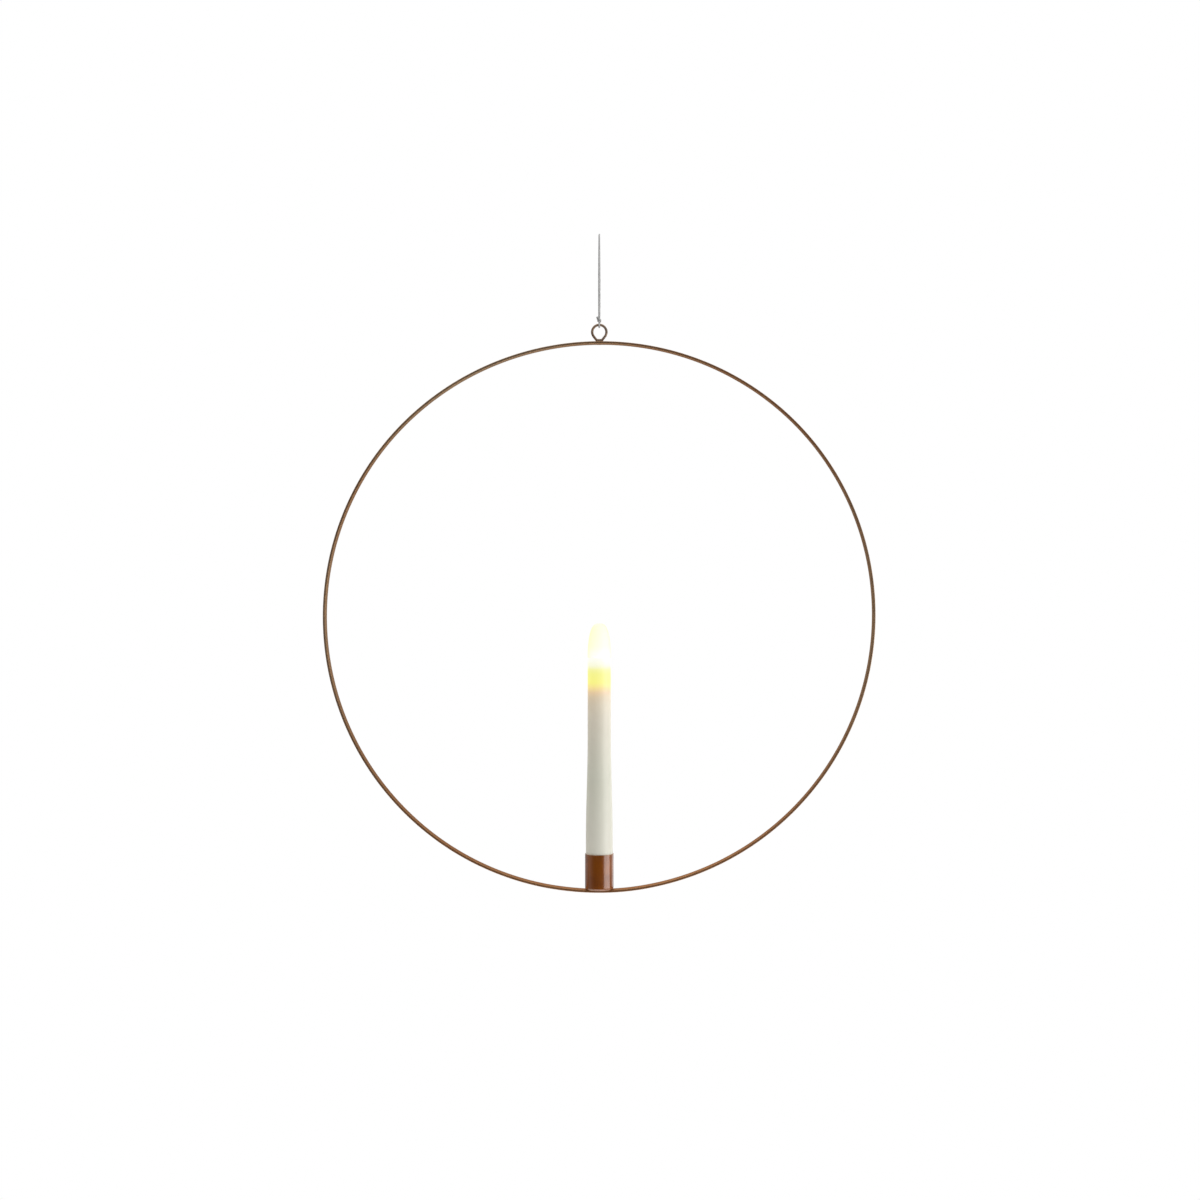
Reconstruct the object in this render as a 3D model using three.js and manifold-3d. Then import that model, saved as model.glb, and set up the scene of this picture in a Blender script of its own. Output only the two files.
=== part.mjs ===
// Candle ring: a hoop of flat metal strip that hangs on a cord,
// with a battery candle standing in a cup inside it.
// Millimetres, +Z up, front towards -Y, so the hoop stands in the XZ plane.
// The origin is the point where the cord's loop lies on its hook.

import * as THREE from "three";
import { mergeVertices } from "three/addons/utils/BufferGeometryUtils.js";
import Module from "manifold-3d";

const wasm = await Module();
wasm.setup();

// Hoop, bent from flat strip
const hoopOuterDiameter = 450;
const stripWidth = 10;
const stripThickness = 2;
const stripEdgeChamfer = 0.35;

// Wire eye, welded on the hoop's top
const eyeOuterDiameter = 13.7;
const eyeWireDiameter = 1.9;
const eyeFootSpread = 1.2;
const eyeWeldWidth = 6;
const eyeWeldHeight = 0.8;
const eyeWeldThickness = 2.3;

// Drawn metal cup for the candle
const cupHeight = 29.2;
const cupWall = 0.4;
const cupFloor = 0.8;
const cupBottomRadius = 2;

// Cord, its loop over the hook and its knot at the eye
const cordDiameter = 1.4;
const cordHangLength = 73;
const hookDiameter = 5;
const strandGap = 0.3;
const knotDiameter = 2.7;
const knotRise = 3;
const knotNeckHeight = 4.1;
const tailLength = 4.6;
const tailLean = 21;

// Candle's outside
const candleBaseDiameter = 22;
const candleTopDiameter = 19;
const taperStartHeight = 38;
const taperEndHeight = 126;
const shellTopHeight = 188;
const shellWall = 1.4;
const tipInset = 0.1;
const tipHeight = 28;
const tipWall = 1.2;
const tipSkirtHeight = 6;
const tipSideFullness = 3;
const tipCrownFullness = 2.2;

// Cells in their sleeve
const cellDiameter = 10.5;
const cellLength = 44.5;
const cellButtonDiameter = 3.8;
const cellButtonHeight = 1;
const cellRim = 0.5;
const sleeveWall = 1.2;
const sleeveEndWall = 1.5;
const sleeveEndHole = 8;
const collarWall = 1.4;
const shoulderThickness = 1.6;

// Base cap with its bayonet lugs
const capHeadInset = 0.3;
const capHeadHeight = 5;
const capEdgeRadius = 1.6;
const capFloor = 3.4;
const capSkirtHeight = 8;
const capSkirtWall = 1.2;
const capLedgeWidth = 0.8;
const gripCount = 12;
const gripRadius = 0.9;
const gripSides = 8;
const gripDepth = 0.4;
const lugCount = 3;
const lugAngle = 16;
const lugHeight = 2;
const lugDepth = 1.3;
const lugRise = 3.7;
const capTurnAngle = 25;

// Slide switch in the cap
const switchLength = 8.6;
const switchWidth = 3.8;
const switchHeight = 3.2;
const switchCorner = 0.4;
const knobLength = 2.2;
const knobWidth = 1.6;
const knobTravel = 2;
const knobRecess = 0.4;
const recessDepth = 1.4;
const recessMargin = 1.1;

// Sheet contacts, spring and wires
const sheetThickness = 0.4;
const springWireDiameter = 0.8;
const springBaseDiameter = 9.2;
const springTopDiameter = 5.2;
const springTurns = 5;
const springHeight = 7.6;
const stripContactWidth = 3;
const tabWidth = 2.4;
const tabRise = 4.5;
const wireDiameter = 1.2;
const wireRise = 10;

// Light, its frame and its circuit board
const lampDiameter = 5;
const lampHeight = 8.6;
const lampFlangeDiameter = 5.8;
const lampFlangeHeight = 1;
const lampSeatDrop = 24;
const leadThickness = 0.5;
const leadSpacing = 2.54;
const leadLength = 17.8;
const frameDiscThickness = 2.4;
const frameFootThickness = 1.6;
const frameFootHole = 9.2;
const frameLegWidth = 4.4;
const frameLegThickness = 2;
const boardWidth = 11.2;
const boardThickness = 1.2;
const boardCorner = 0.6;
const boardRise = 4.4;
const boardGrip = 0.6;
const chipSize = 5;
const chipThickness = 1.5;
const chipCorner = 0.3;

// Clearances
const seatGap = 0.05;
const runningGap = 0.3;
const cupClearance = 0.25;
const boreClearance = 0.3;
const cellClearance = 0.35;
const cutOverrun = 1;

// Facets
const hoopFacets = 144;
const cupFacets = 44;
const shellFacets = 36;
const smallFacets = 24;
const wireSides = 12;
const cordSides = 8;
const thinSides = 6;
const cornerSteps = 4;

const full = Math.PI * 2;
const quarter = Math.PI / 2;
const radians = THREE.MathUtils.degToRad;

// Radii and heights that follow from the sizes above
const hoopOuterRadius = hoopOuterDiameter / 2;
const hoopInnerRadius = hoopOuterRadius - stripThickness;
const hoopHalfFacet = Math.PI / hoopFacets;
const hoopFacetStretch = 1 / Math.cos(hoopHalfFacet);
const eyeWireRadius = eyeWireDiameter / 2;
const eyeRadius = eyeOuterDiameter / 2 - eyeWireRadius;
const eyeFootDrop = eyeOuterDiameter / 2;
const eyeFootHeight = hoopOuterRadius + seatGap;
const eyeCentreHeight = eyeFootHeight + eyeFootDrop;
const hoopCentreZ = -cordHangLength - eyeRadius - eyeCentreHeight;

const cordRadius = cordDiameter / 2;
const strandOffset = cordRadius + strandGap / 2;
const knotZ = -cordHangLength + knotRise;

const cupInnerRadius = candleBaseDiameter / 2 + cupClearance;
const cupOuterRadius = cupInnerRadius + cupWall;
const cupFlatRadius = cupOuterRadius - cupBottomRadius;
const cupBottomHeight = -Math.sqrt(hoopInnerRadius ** 2 - cupFlatRadius ** 2) + seatGap;
const candleBaseHeight = cupBottomHeight + cupFloor + seatGap;

const shellFootHeight = capHeadHeight + runningGap;
const shellBaseBore = candleBaseDiameter / 2 - shellWall;
const shellTopBore = candleTopDiameter / 2 - shellWall;
const collarRadius = shellBaseBore - boreClearance;
const collarBore = collarRadius - collarWall;
const skirtRadius = collarBore - boreClearance;
const skirtBore = skirtRadius - capSkirtWall;
const ledgeBore = skirtBore - capLedgeWidth;
const skirtTopHeight = capHeadHeight + capSkirtHeight;
const switchSeatHeight = capFloor + seatGap;
const plateSeatHeight = switchSeatHeight + switchHeight + runningGap;
const plateTopHeight = plateSeatHeight + seatGap + sheetThickness;
const springFootHeight = plateTopHeight + seatGap;
const cellFootHeight = springFootHeight + springHeight + seatGap;
const ringTopHeight = skirtTopHeight + seatGap + sheetThickness;
const shoulderHeight = ringTopHeight + runningGap;
const upperCellHeight = cellFootHeight + cellLength + seatGap;
const topContactHeight = upperCellHeight + cellLength + seatGap;
const sleeveEndHeight = topContactHeight + sheetThickness + seatGap;
const sleeveTopHeight = sleeveEndHeight + sleeveEndWall;
const sleeveBore = cellDiameter / 2 + cellClearance;
const sleeveRadius = sleeveBore + sleeveWall;
const frameFootHeight = sleeveTopHeight + seatGap;
const frameRadius = shellTopBore - boreClearance;
const tabTopHeight = frameFootHeight + frameFootThickness + tabRise;
const boardFootHeight = frameFootHeight + frameFootThickness + boardRise;
const lampSeatHeight = shellTopHeight - lampSeatDrop;
const boardTopHeight = lampSeatHeight - leadLength;
const wireTopHeight = tabTopHeight + wireRise;
const stripRadius = sleeveRadius + boreClearance;
const wireOffset = chipSize / 2 + boreClearance + wireDiameter / 2;

// A closed mesh as a solid that can be joined and cut.
function solid(geometry) {
  const bare = geometry.index ? geometry.toNonIndexed() : geometry.clone();
  bare.deleteAttribute("normal");
  bare.deleteAttribute("uv");
  const welded = mergeVertices(bare);
  return new wasm.Manifold(
    new wasm.Mesh({
      numProp: 3,
      vertProperties: welded.attributes.position.array,
      triVerts: new Uint32Array(welded.index.array),
    }),
  );
}

// A solid as a mesh with flat faces.
function meshOf(body) {
  const { vertProperties, triVerts } = body.getMesh();
  const geometry = new THREE.BufferGeometry();
  geometry.setAttribute("position", new THREE.BufferAttribute(vertProperties, 3));
  geometry.setIndex(new THREE.BufferAttribute(triVerts, 1));
  const faceted = geometry.toNonIndexed();
  faceted.computeVertexNormals();
  return faceted;
}

function join(first, ...others) {
  return others.reduce((body, other) => body.add(solid(other)), solid(first));
}

function cut(body, ...others) {
  return others.reduce((left, other) => left.subtract(solid(other)), body);
}

// Turns a profile of [radius, height] points round the Z axis.
function turned(profile, sides) {
  const points = profile.map(([radius, height]) => new THREE.Vector2(radius, height));
  return new THREE.LatheGeometry(points, sides).rotateX(quarter);
}

// Points on an arc of a profile; angles run from the outward direction towards the upward one, in degrees.
function arcPoints(radius, height, bend, from, to, steps = cornerSteps) {
  return Array.from({ length: steps + 1 }, (_, i) => {
    const angle = radians(from + ((to - from) * i) / steps);
    return [radius + bend * Math.cos(angle), height + bend * Math.sin(angle)];
  });
}

// An outline in XY, raised from one height to another.
function raised(outline, low, high, curveSegments = cornerSteps) {
  const options = { depth: high - low, bevelEnabled: false, curveSegments };
  return new THREE.ExtrudeGeometry(outline, options).translate(0, 0, low);
}

// A block given by its lowest and highest corners.
function block(low, high) {
  const sides = high.map((value, i) => value - low[i]);
  const centre = high.map((value, i) => (value + low[i]) / 2);
  return new THREE.BoxGeometry(...sides).translate(...centre);
}

// A rounded rectangle in XY, centred on the Z axis.
function roundedRectangle(length, width, corner) {
  const x = length / 2;
  const y = width / 2;
  const outline = new THREE.Shape();
  outline.moveTo(-x + corner, -y);
  outline.lineTo(x - corner, -y);
  outline.absarc(x - corner, -y + corner, corner, -quarter, 0, false);
  outline.lineTo(x, y - corner);
  outline.absarc(x - corner, y - corner, corner, 0, quarter, false);
  outline.lineTo(-x + corner, y);
  outline.absarc(-x + corner, y - corner, corner, quarter, quarter * 2, false);
  outline.lineTo(-x, -y + corner);
  outline.absarc(-x + corner, -y + corner, corner, quarter * 2, quarter * 3, false);
  return outline;
}

// A part of a ring in XY, between two radii and two angles in degrees.
function ringSector(inner, outer, from, to) {
  const outline = new THREE.Shape();
  outline.absarc(0, 0, outer, radians(from), radians(to), false);
  outline.absarc(0, 0, inner, radians(to), radians(from), true);
  return outline;
}

// A round section drawn along a path.
function tube(path, diameter, steps, sides) {
  const corners = Array.from({ length: sides }, (_, i) => {
    const angle = (full * i) / sides;
    return new THREE.Vector2(Math.cos(angle), Math.sin(angle)).multiplyScalar(diameter / 2);
  });
  const options = { extrudePath: path, steps, bevelEnabled: false };
  return new THREE.ExtrudeGeometry(new THREE.Shape(corners), options);
}

function rod(from, to, diameter, sides) {
  return tube(new THREE.LineCurve3(from, to), diameter, 1, sides);
}

// An arc about the origin, with angles in radians from +Z towards a sideways axis.
class UprightArc extends THREE.Curve {
  constructor(sideways, radius, from, to) {
    super();
    Object.assign(this, { sideways, radius, from, to });
  }

  getPoint(share, target = new THREE.Vector3()) {
    const angle = THREE.MathUtils.lerp(this.from, this.to, share);
    target.copy(this.sideways).multiplyScalar(this.radius * Math.sin(angle));
    target.z += this.radius * Math.cos(angle);
    return target;
  }
}

// A helix whose radius changes evenly from its foot to its top.
class ConeHelix extends THREE.Curve {
  constructor(footRadius, topRadius, height, turns) {
    super();
    Object.assign(this, { footRadius, topRadius, height, turns });
  }

  getPoint(share, target = new THREE.Vector3()) {
    const radius = THREE.MathUtils.lerp(this.footRadius, this.topRadius, share);
    const angle = full * this.turns * share;
    return target.set(radius * Math.cos(angle), radius * Math.sin(angle), this.height * share);
  }
}

// Where a cord or wire leaves the pin that it is bent over, as the angle from the pin's top,
// if it then runs straight to a point that lies below the pin and off to one side.
function leaveAngle(pinRadius, drop, halfSpread) {
  return Math.atan2(halfSpread, -drop) - Math.acos(pinRadius / Math.hypot(drop, halfSpread));
}

// The way of a cord in the YZ plane: up from a point below, over a pin on the origin and down again.
// Its straight stretches touch the pin's circle and stop short of their end points by endGap.
function slingPath(pinRadius, drop, halfSpread, endGap) {
  const angle = leaveAngle(pinRadius, drop, halfSpread);
  const backwards = new THREE.Vector3(0, 1, 0);
  const over = new UprightArc(backwards, pinRadius, -angle, angle);
  const leave = over.getPoint(1);
  const target = new THREE.Vector3(0, halfSpread, -drop);
  const end = target.clone().add(leave.clone().sub(target).setLength(endGap));
  const mirrored = (point) => new THREE.Vector3(point.x, -point.y, point.z);
  const path = new THREE.CurvePath();
  path.add(new THREE.LineCurve3(mirrored(end), mirrored(leave)));
  path.add(over);
  path.add(new THREE.LineCurve3(leave, end));
  return path;
}

// The candle's outer radius at a height: straight, then an S-shaped taper, then straight again.
function candleRadius(height) {
  const share = THREE.MathUtils.smoothstep(height, taperStartHeight, taperEndHeight);
  return THREE.MathUtils.lerp(candleBaseDiameter, candleTopDiameter, share) / 2;
}

// The strip's section is turned about Y.
// A flat facet lies at the top and one at the bottom, at the true radius.
function hoopGeometry() {
  const half = stripWidth / 2;
  const c = stripEdgeChamfer;
  const section = [
    [hoopInnerRadius + c, -half],
    [hoopOuterRadius - c, -half],
    [hoopOuterRadius, -half + c],
    [hoopOuterRadius, half - c],
    [hoopOuterRadius - c, half],
    [hoopInnerRadius + c, half],
    [hoopInnerRadius, half - c],
    [hoopInnerRadius, -half + c],
    [hoopInnerRadius + c, -half],
  ];
  const points = section.map(([radius, depth]) => new THREE.Vector2(radius * hoopFacetStretch, depth));
  return new THREE.LatheGeometry(points, hoopFacets, hoopHalfFacet);
}

// The eye's wire runs round and comes down in two straight legs,
// whose feet lie side by side on the hoop in a low weld.
function eyeGeometry() {
  const arcSteps = 36;
  const overlap = 0.05;
  const sideways = new THREE.Vector3(1, 0, 0);
  const legAngle = leaveAngle(eyeRadius, eyeFootDrop, eyeFootSpread);
  const ring = new UprightArc(sideways, eyeRadius, -legAngle, legAngle);
  const legs = [-1, 1].map((side) => {
    const top = ring.getPoint((side + 1) / 2);
    const foot = new THREE.Vector3(side * eyeFootSpread, 0, -eyeFootDrop);
    const along = foot.clone().sub(top).normalize();
    const start = top.clone().addScaledVector(along, -overlap);
    const end = foot.clone().addScaledVector(along, eyeWireDiameter);
    return rod(start, end, eyeWireDiameter, wireSides);
  });
  const weld = new THREE.Shape();
  const halfFoot = eyeWeldWidth / 2;
  weld.moveTo(-halfFoot, -cutOverrun);
  weld.lineTo(halfFoot, -cutOverrun);
  weld.lineTo(halfFoot, 0);
  weld.quadraticCurveTo(eyeWireRadius, 0, eyeWireRadius, eyeWeldHeight);
  weld.lineTo(-eyeWireRadius, eyeWeldHeight);
  weld.quadraticCurveTo(-eyeWireRadius, 0, -halfFoot, 0);
  const bead = raised(weld, -eyeWeldThickness / 2, eyeWeldThickness / 2);
  bead.rotateX(quarter).translate(0, 0, -eyeFootDrop);
  const wide = eyeOuterDiameter;
  const below = block([-wide, -wide, -eyeFootDrop - wide], [wide, wide, -eyeFootDrop]);
  return meshOf(cut(join(tube(ring, eyeWireDiameter, arcSteps, wireSides), ...legs, bead), below));
}

function cupGeometry() {
  const innerBend = Math.max(cupBottomRadius - cupWall, cupWall);
  const outline = [
    [0, 0],
    ...arcPoints(cupFlatRadius, cupBottomRadius, cupBottomRadius, -90, 0),
    [cupOuterRadius, cupHeight],
    [cupInnerRadius, cupHeight],
    ...arcPoints(cupInnerRadius - innerBend, cupFloor + innerBend, innerBend, 0, -90),
    [0, cupFloor],
  ];
  return turned(outline, cupFacets);
}

function loopGeometry() {
  const loopSteps = 60;
  const bendRadius = hookDiameter / 2 + cordRadius;
  const bendCentre = -hookDiameter / 2;
  const drop = bendCentre - (knotZ + knotNeckHeight + runningGap);
  const path = slingPath(bendRadius, drop, strandOffset, 0);
  return tube(path, cordDiameter, loopSteps, cordSides).translate(0, 0, bendCentre);
}

// The knot's ball holds the ends of both strands and the short tail that was left when it was tied.
function knotGeometry() {
  const rings = 8;
  const ball = new THREE.SphereGeometry(knotDiameter / 2, wireSides, rings).rotateX(quarter);
  const neckFoot = knotDiameter / 4;
  const necks = [-strandOffset, strandOffset].map((y) =>
    rod(new THREE.Vector3(0, y, neckFoot), new THREE.Vector3(0, y, knotNeckHeight), cordDiameter, cordSides),
  );
  const lean = radians(tailLean);
  const along = new THREE.Vector3(-Math.sin(lean), 0, Math.cos(lean));
  const tailStart = new THREE.Vector3(-knotDiameter / 4, 0, -knotDiameter / 4);
  const tailEnd = tailStart.clone().addScaledVector(along, tailLength);
  const tail = rod(tailStart, tailEnd, cordDiameter, cordSides);
  return meshOf(join(ball, ...necks, tail));
}

// One turn of the cord round the eye's wire, with both its ends pointing at the knot.
function wrapGeometry() {
  const wrapSteps = 20;
  const bendRadius = eyeWireRadius + runningGap + cordRadius;
  const path = slingPath(bendRadius, knotRise, 0, knotDiameter / 2 + runningGap);
  return tube(path, cordDiameter, wrapSteps, cordSides).rotateY(Math.PI);
}

function shellGeometry() {
  const outerSteps = 9;
  const innerSteps = 4;
  const wallAt = (height, inset) => [candleRadius(height) - inset, height];
  const side = (steps, inset) =>
    Array.from({ length: steps + 1 }, (_, i) =>
      wallAt(THREE.MathUtils.lerp(taperStartHeight, taperEndHeight, i / steps), inset),
    );
  const outline = [
    wallAt(shellFootHeight, 0),
    ...side(outerSteps, 0),
    wallAt(shellTopHeight, 0),
    wallAt(shellTopHeight, shellWall),
    ...side(innerSteps, shellWall).reverse(),
    wallAt(shellFootHeight, shellWall),
    wallAt(shellFootHeight, 0),
  ];
  return turned(outline, shellFacets);
}

// Half a dome's outline from its foot to its crown, as (r/R)^a + (h/H)^b = 1.
function domePoints(radius, height, steps) {
  return Array.from({ length: steps + 1 }, (_, i) => {
    const rise = Math.sin((quarter * i) / steps);
    const share = Math.max(1 - rise ** tipCrownFullness, 0) ** (1 / tipSideFullness);
    return [i === steps ? 0 : radius * share, height * rise];
  });
}

// The light tip's foot rests on the shell's top edge, and its skirt goes down inside it.
function tipGeometry() {
  const outerSteps = 10;
  const innerSteps = 6;
  const skirtOuter = shellTopBore - boreClearance;
  const skirtInner = skirtOuter - tipWall;
  const outline = [
    ...domePoints(skirtInner, tipHeight - tipWall, innerSteps).reverse(),
    [skirtInner, -tipSkirtHeight],
    [skirtOuter, -tipSkirtHeight],
    [skirtOuter, 0],
    ...domePoints(candleTopDiameter / 2 - tipInset, tipHeight, outerSteps),
  ];
  return turned(outline, shellFacets).translate(0, 0, seatGap);
}

function lampGeometry() {
  const radius = lampDiameter / 2;
  const outline = [
    [0, 0],
    [lampFlangeDiameter / 2, 0],
    [lampFlangeDiameter / 2, lampFlangeHeight],
    [radius, lampFlangeHeight],
    ...arcPoints(0, lampHeight - radius, radius, 0, 90).slice(0, -1),
    [0, lampHeight],
  ];
  return turned(outline, smallFacets);
}

function leadGeometry(side) {
  const x = (side * leadSpacing) / 2;
  const half = leadThickness / 2;
  const low = [x - half, -half, boardTopHeight + seatGap];
  const high = [x + half, half, lampSeatHeight];
  return block(low, high);
}

// The frame stands on the sleeve, carries the light on its top disc and grips the board between its two legs.
function frameGeometry() {
  const topHeight = lampSeatHeight - seatGap;
  const legOuter = boardWidth / 2 - boardGrip + frameLegThickness;
  const legInner = boardWidth / 2 - boardGrip;
  const footTop = frameFootHeight + frameFootThickness;
  const disc = new THREE.Shape().absarc(0, 0, frameRadius, 0, full, false);
  const top = raised(disc, topHeight - frameDiscThickness, topHeight, smallFacets / 2);
  const foot = raised(disc, frameFootHeight, footTop, smallFacets / 2);
  const legs = [-1, 1].map((side) =>
    block(
      [Math.min(side * legInner, side * legOuter), -frameLegWidth / 2, footTop - cutOverrun],
      [Math.max(side * legInner, side * legOuter), frameLegWidth / 2, topHeight - cutOverrun],
    ),
  );
  const grooveReach = boardWidth / 2 + boreClearance;
  const grooveHalf = boardThickness / 2 + boreClearance;
  const groove = block(
    [-grooveReach, -grooveHalf, boardFootHeight - seatGap],
    [grooveReach, grooveHalf, topHeight - frameDiscThickness],
  );
  const hole = new THREE.Shape().absarc(0, 0, frameFootHole / 2, 0, full, false);
  const well = raised(hole, frameFootHeight - cutOverrun, footTop + cutOverrun, smallFacets / 2);
  const notchHalf = stripContactWidth / 2 + boreClearance;
  const notch = block(
    [-notchHalf, stripRadius - boreClearance, frameFootHeight - cutOverrun],
    [notchHalf, frameRadius + cutOverrun, footTop + cutOverrun],
  );
  const leadHalf = leadThickness / 2 + seatGap;
  const leadHoles = [-1, 1].map((side) => {
    const x = (side * leadSpacing) / 2;
    return block(
      [x - leadHalf, -leadHalf, topHeight - frameDiscThickness - cutOverrun],
      [x + leadHalf, leadHalf, topHeight + cutOverrun],
    );
  });
  return meshOf(cut(join(top, foot, ...legs), groove, well, notch, ...leadHoles));
}

function boardGeometry() {
  const outline = roundedRectangle(boardWidth, boardTopHeight - boardFootHeight, boardCorner);
  const board = raised(outline, -boardThickness / 2, boardThickness / 2);
  return board.rotateX(quarter).translate(0, 0, (boardFootHeight + boardTopHeight) / 2);
}

function chipGeometry() {
  const outline = roundedRectangle(chipSize, chipSize, chipCorner);
  const front = -boardThickness / 2 - seatGap;
  const chip = raised(outline, 0, chipThickness).rotateX(quarter);
  return chip.translate(0, front, (wireTopHeight + boardTopHeight) / 2);
}

// A wire soldered to a contact's tab at its foot and to one face of the board at its top, clear of the chip.
function wireGeometry(side, foot) {
  const wireSteps = 14;
  const faceOffset = boardThickness / 2 + seatGap + wireDiameter / 2;
  const x = side * wireOffset;
  const levelAt = (share) => foot.z + wireRise * share;
  const points = [
    new THREE.Vector3(0, foot.y, foot.z + seatGap),
    new THREE.Vector3(0, foot.y, levelAt(1 / 8)),
    new THREE.Vector3(x / 2, (foot.y + side * faceOffset) / 2, levelAt(1 / 2)),
    new THREE.Vector3(x, side * faceOffset, levelAt(3 / 4)),
    new THREE.Vector3(x, side * faceOffset, levelAt(1)),
  ];
  return tube(new THREE.CatmullRomCurve3(points), wireDiameter, wireSteps, thinSides);
}

function cellGeometry() {
  const radius = cellDiameter / 2;
  const shoulder = cellLength - cellButtonHeight;
  const outline = [
    [0, 0],
    [radius - cellRim, 0],
    [radius, cellRim],
    [radius, shoulder - cellRim],
    [radius - cellRim, shoulder],
    [cellButtonDiameter / 2, shoulder],
    [cellButtonDiameter / 2, cellLength],
    [0, cellLength],
  ];
  return turned(outline, smallFacets);
}

const lugLow = capHeadHeight + lugRise;
const lugHigh = lugLow + lugHeight;
const lugMargin = THREE.MathUtils.radToDeg(runningGap / skirtRadius);
const lugStarts = Array.from({ length: lugCount }, (_, i) => (360 * i) / lugCount);

// The sleeve holds both cells.
// Its collar fits the shell's bore and has an L-shaped slot for each of the cap's lugs.
function sleeveGeometry() {
  const outline = [
    [sleeveBore, shoulderHeight],
    [collarBore, shoulderHeight],
    [collarBore, shellFootHeight],
    [collarRadius, shellFootHeight],
    [collarRadius, shoulderHeight + shoulderThickness],
    [sleeveRadius, shoulderHeight + shoulderThickness],
    [sleeveRadius, sleeveTopHeight],
    [sleeveEndHole / 2, sleeveTopHeight],
    [sleeveEndHole / 2, sleeveEndHeight],
    [sleeveBore, sleeveEndHeight],
    [sleeveBore, shoulderHeight],
  ];
  const inner = collarBore - cutOverrun;
  const outer = collarRadius + cutOverrun;
  const slots = lugStarts.flatMap((start) => {
    const closed = start + lugAngle + lugMargin;
    const open = start - capTurnAngle - lugMargin;
    const mouth = ringSector(inner, outer, open, open + lugAngle + lugMargin * 2);
    const run = ringSector(inner, outer, open, closed);
    return [
      raised(mouth, shellFootHeight - cutOverrun, lugHigh + runningGap),
      raised(run, lugLow - runningGap, lugHigh + runningGap),
    ];
  });
  const passHalf = stripContactWidth / 2 + boreClearance;
  const pass = block(
    [-passHalf, stripRadius - boreClearance, shoulderHeight - cutOverrun],
    [passHalf, stripRadius + sheetThickness + boreClearance, shoulderHeight + shoulderThickness + cutOverrun],
  );
  return meshOf(cut(solid(turned(outline, shellFacets)), ...slots, pass));
}

// A springy strip that runs from the cap's contact ring up outside the sleeve.
function stripGeometry() {
  const half = stripContactWidth / 2;
  const foot = ringTopHeight + seatGap;
  return block([-half, stripRadius, foot], [half, stripRadius + sheetThickness, tabTopHeight]);
}

// A disc on the upper cell's button, with a tab through the sleeve's end.
function topContactGeometry() {
  const disc = new THREE.Shape().absarc(0, 0, sleeveBore - boreClearance, 0, full, false);
  const plate = raised(disc, topContactHeight, topContactHeight + sheetThickness, smallFacets / 2);
  const y = -sleeveEndHole / 2 + boreClearance + sheetThickness;
  const low = [-tabWidth / 2, y, topContactHeight + sheetThickness / 2];
  const tab = block(low, [tabWidth / 2, y + sheetThickness, tabTopHeight]);
  return meshOf(join(plate, tab));
}

const recessLength = knobLength + knobTravel + recessMargin * 2;
const slotLength = knobLength + knobTravel + boreClearance * 2;
const slotWidth = knobWidth + boreClearance * 2;
const contactFace = -skirtBore + boreClearance;

// The base cap has a gripped head, a skirt with bayonet lugs, a ledge for the spring's plate
// and a recess for the switch.
function capGeometry() {
  const headRadius = candleBaseDiameter / 2 - capHeadInset;
  const lugInner = skirtRadius - capSkirtWall / 2;
  const lugOuter = skirtRadius + lugDepth;
  const outline = [
    [0, 0],
    ...arcPoints(headRadius - capEdgeRadius, capEdgeRadius, capEdgeRadius, -90, 0),
    [headRadius, capHeadHeight],
    [skirtRadius, capHeadHeight],
    [skirtRadius, skirtTopHeight],
    [skirtBore, skirtTopHeight],
    [skirtBore, plateSeatHeight],
    [ledgeBore, plateSeatHeight],
    [ledgeBore, capFloor],
    [0, capFloor],
  ];
  const lugs = lugStarts.map((start) => {
    const sector = ringSector(lugInner, lugOuter, start, start + lugAngle);
    return raised(sector, lugLow, lugHigh);
  });
  const grips = Array.from({ length: gripCount }, (_, i) => {
    const angle = (full * i) / gripCount;
    const reach = headRadius + gripRadius - gripDepth;
    const groove = new THREE.CylinderGeometry(gripRadius, gripRadius, capHeadHeight * 2, gripSides);
    return groove.rotateX(quarter).translate(reach * Math.cos(angle), reach * Math.sin(angle), 0);
  });
  const recess = roundedRectangle(recessLength, slotWidth + recessMargin, slotWidth / 2);
  const slot = roundedRectangle(slotLength, slotWidth, boreClearance);
  const contactHalf = tabWidth / 2 + boreClearance;
  const contactWell = block(
    [-skirtBore, -contactHalf, capFloor],
    [-switchLength / 2, contactHalf, plateSeatHeight + seatGap],
  );
  const cuts = [
    raised(recess, -cutOverrun, recessDepth),
    raised(slot, -cutOverrun, capFloor + cutOverrun),
    contactWell,
  ];
  return meshOf(cut(join(turned(outline, shellFacets), ...lugs), ...grips, ...cuts));
}

// The plate under the spring lies on the cap's ledge and is notched for the contact's tab.
function plateGeometry() {
  const radius = skirtBore - boreClearance;
  const disc = new THREE.Shape().absarc(0, 0, radius, 0, full, false);
  const plate = raised(disc, plateSeatHeight + seatGap, plateTopHeight, smallFacets / 2);
  const half = tabWidth / 2 + boreClearance;
  const notch = block(
    [-radius - cutOverrun, -half, plateSeatHeight],
    [contactFace + sheetThickness + boreClearance, half, plateTopHeight + cutOverrun],
  );
  return meshOf(cut(solid(plate), notch));
}

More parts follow.
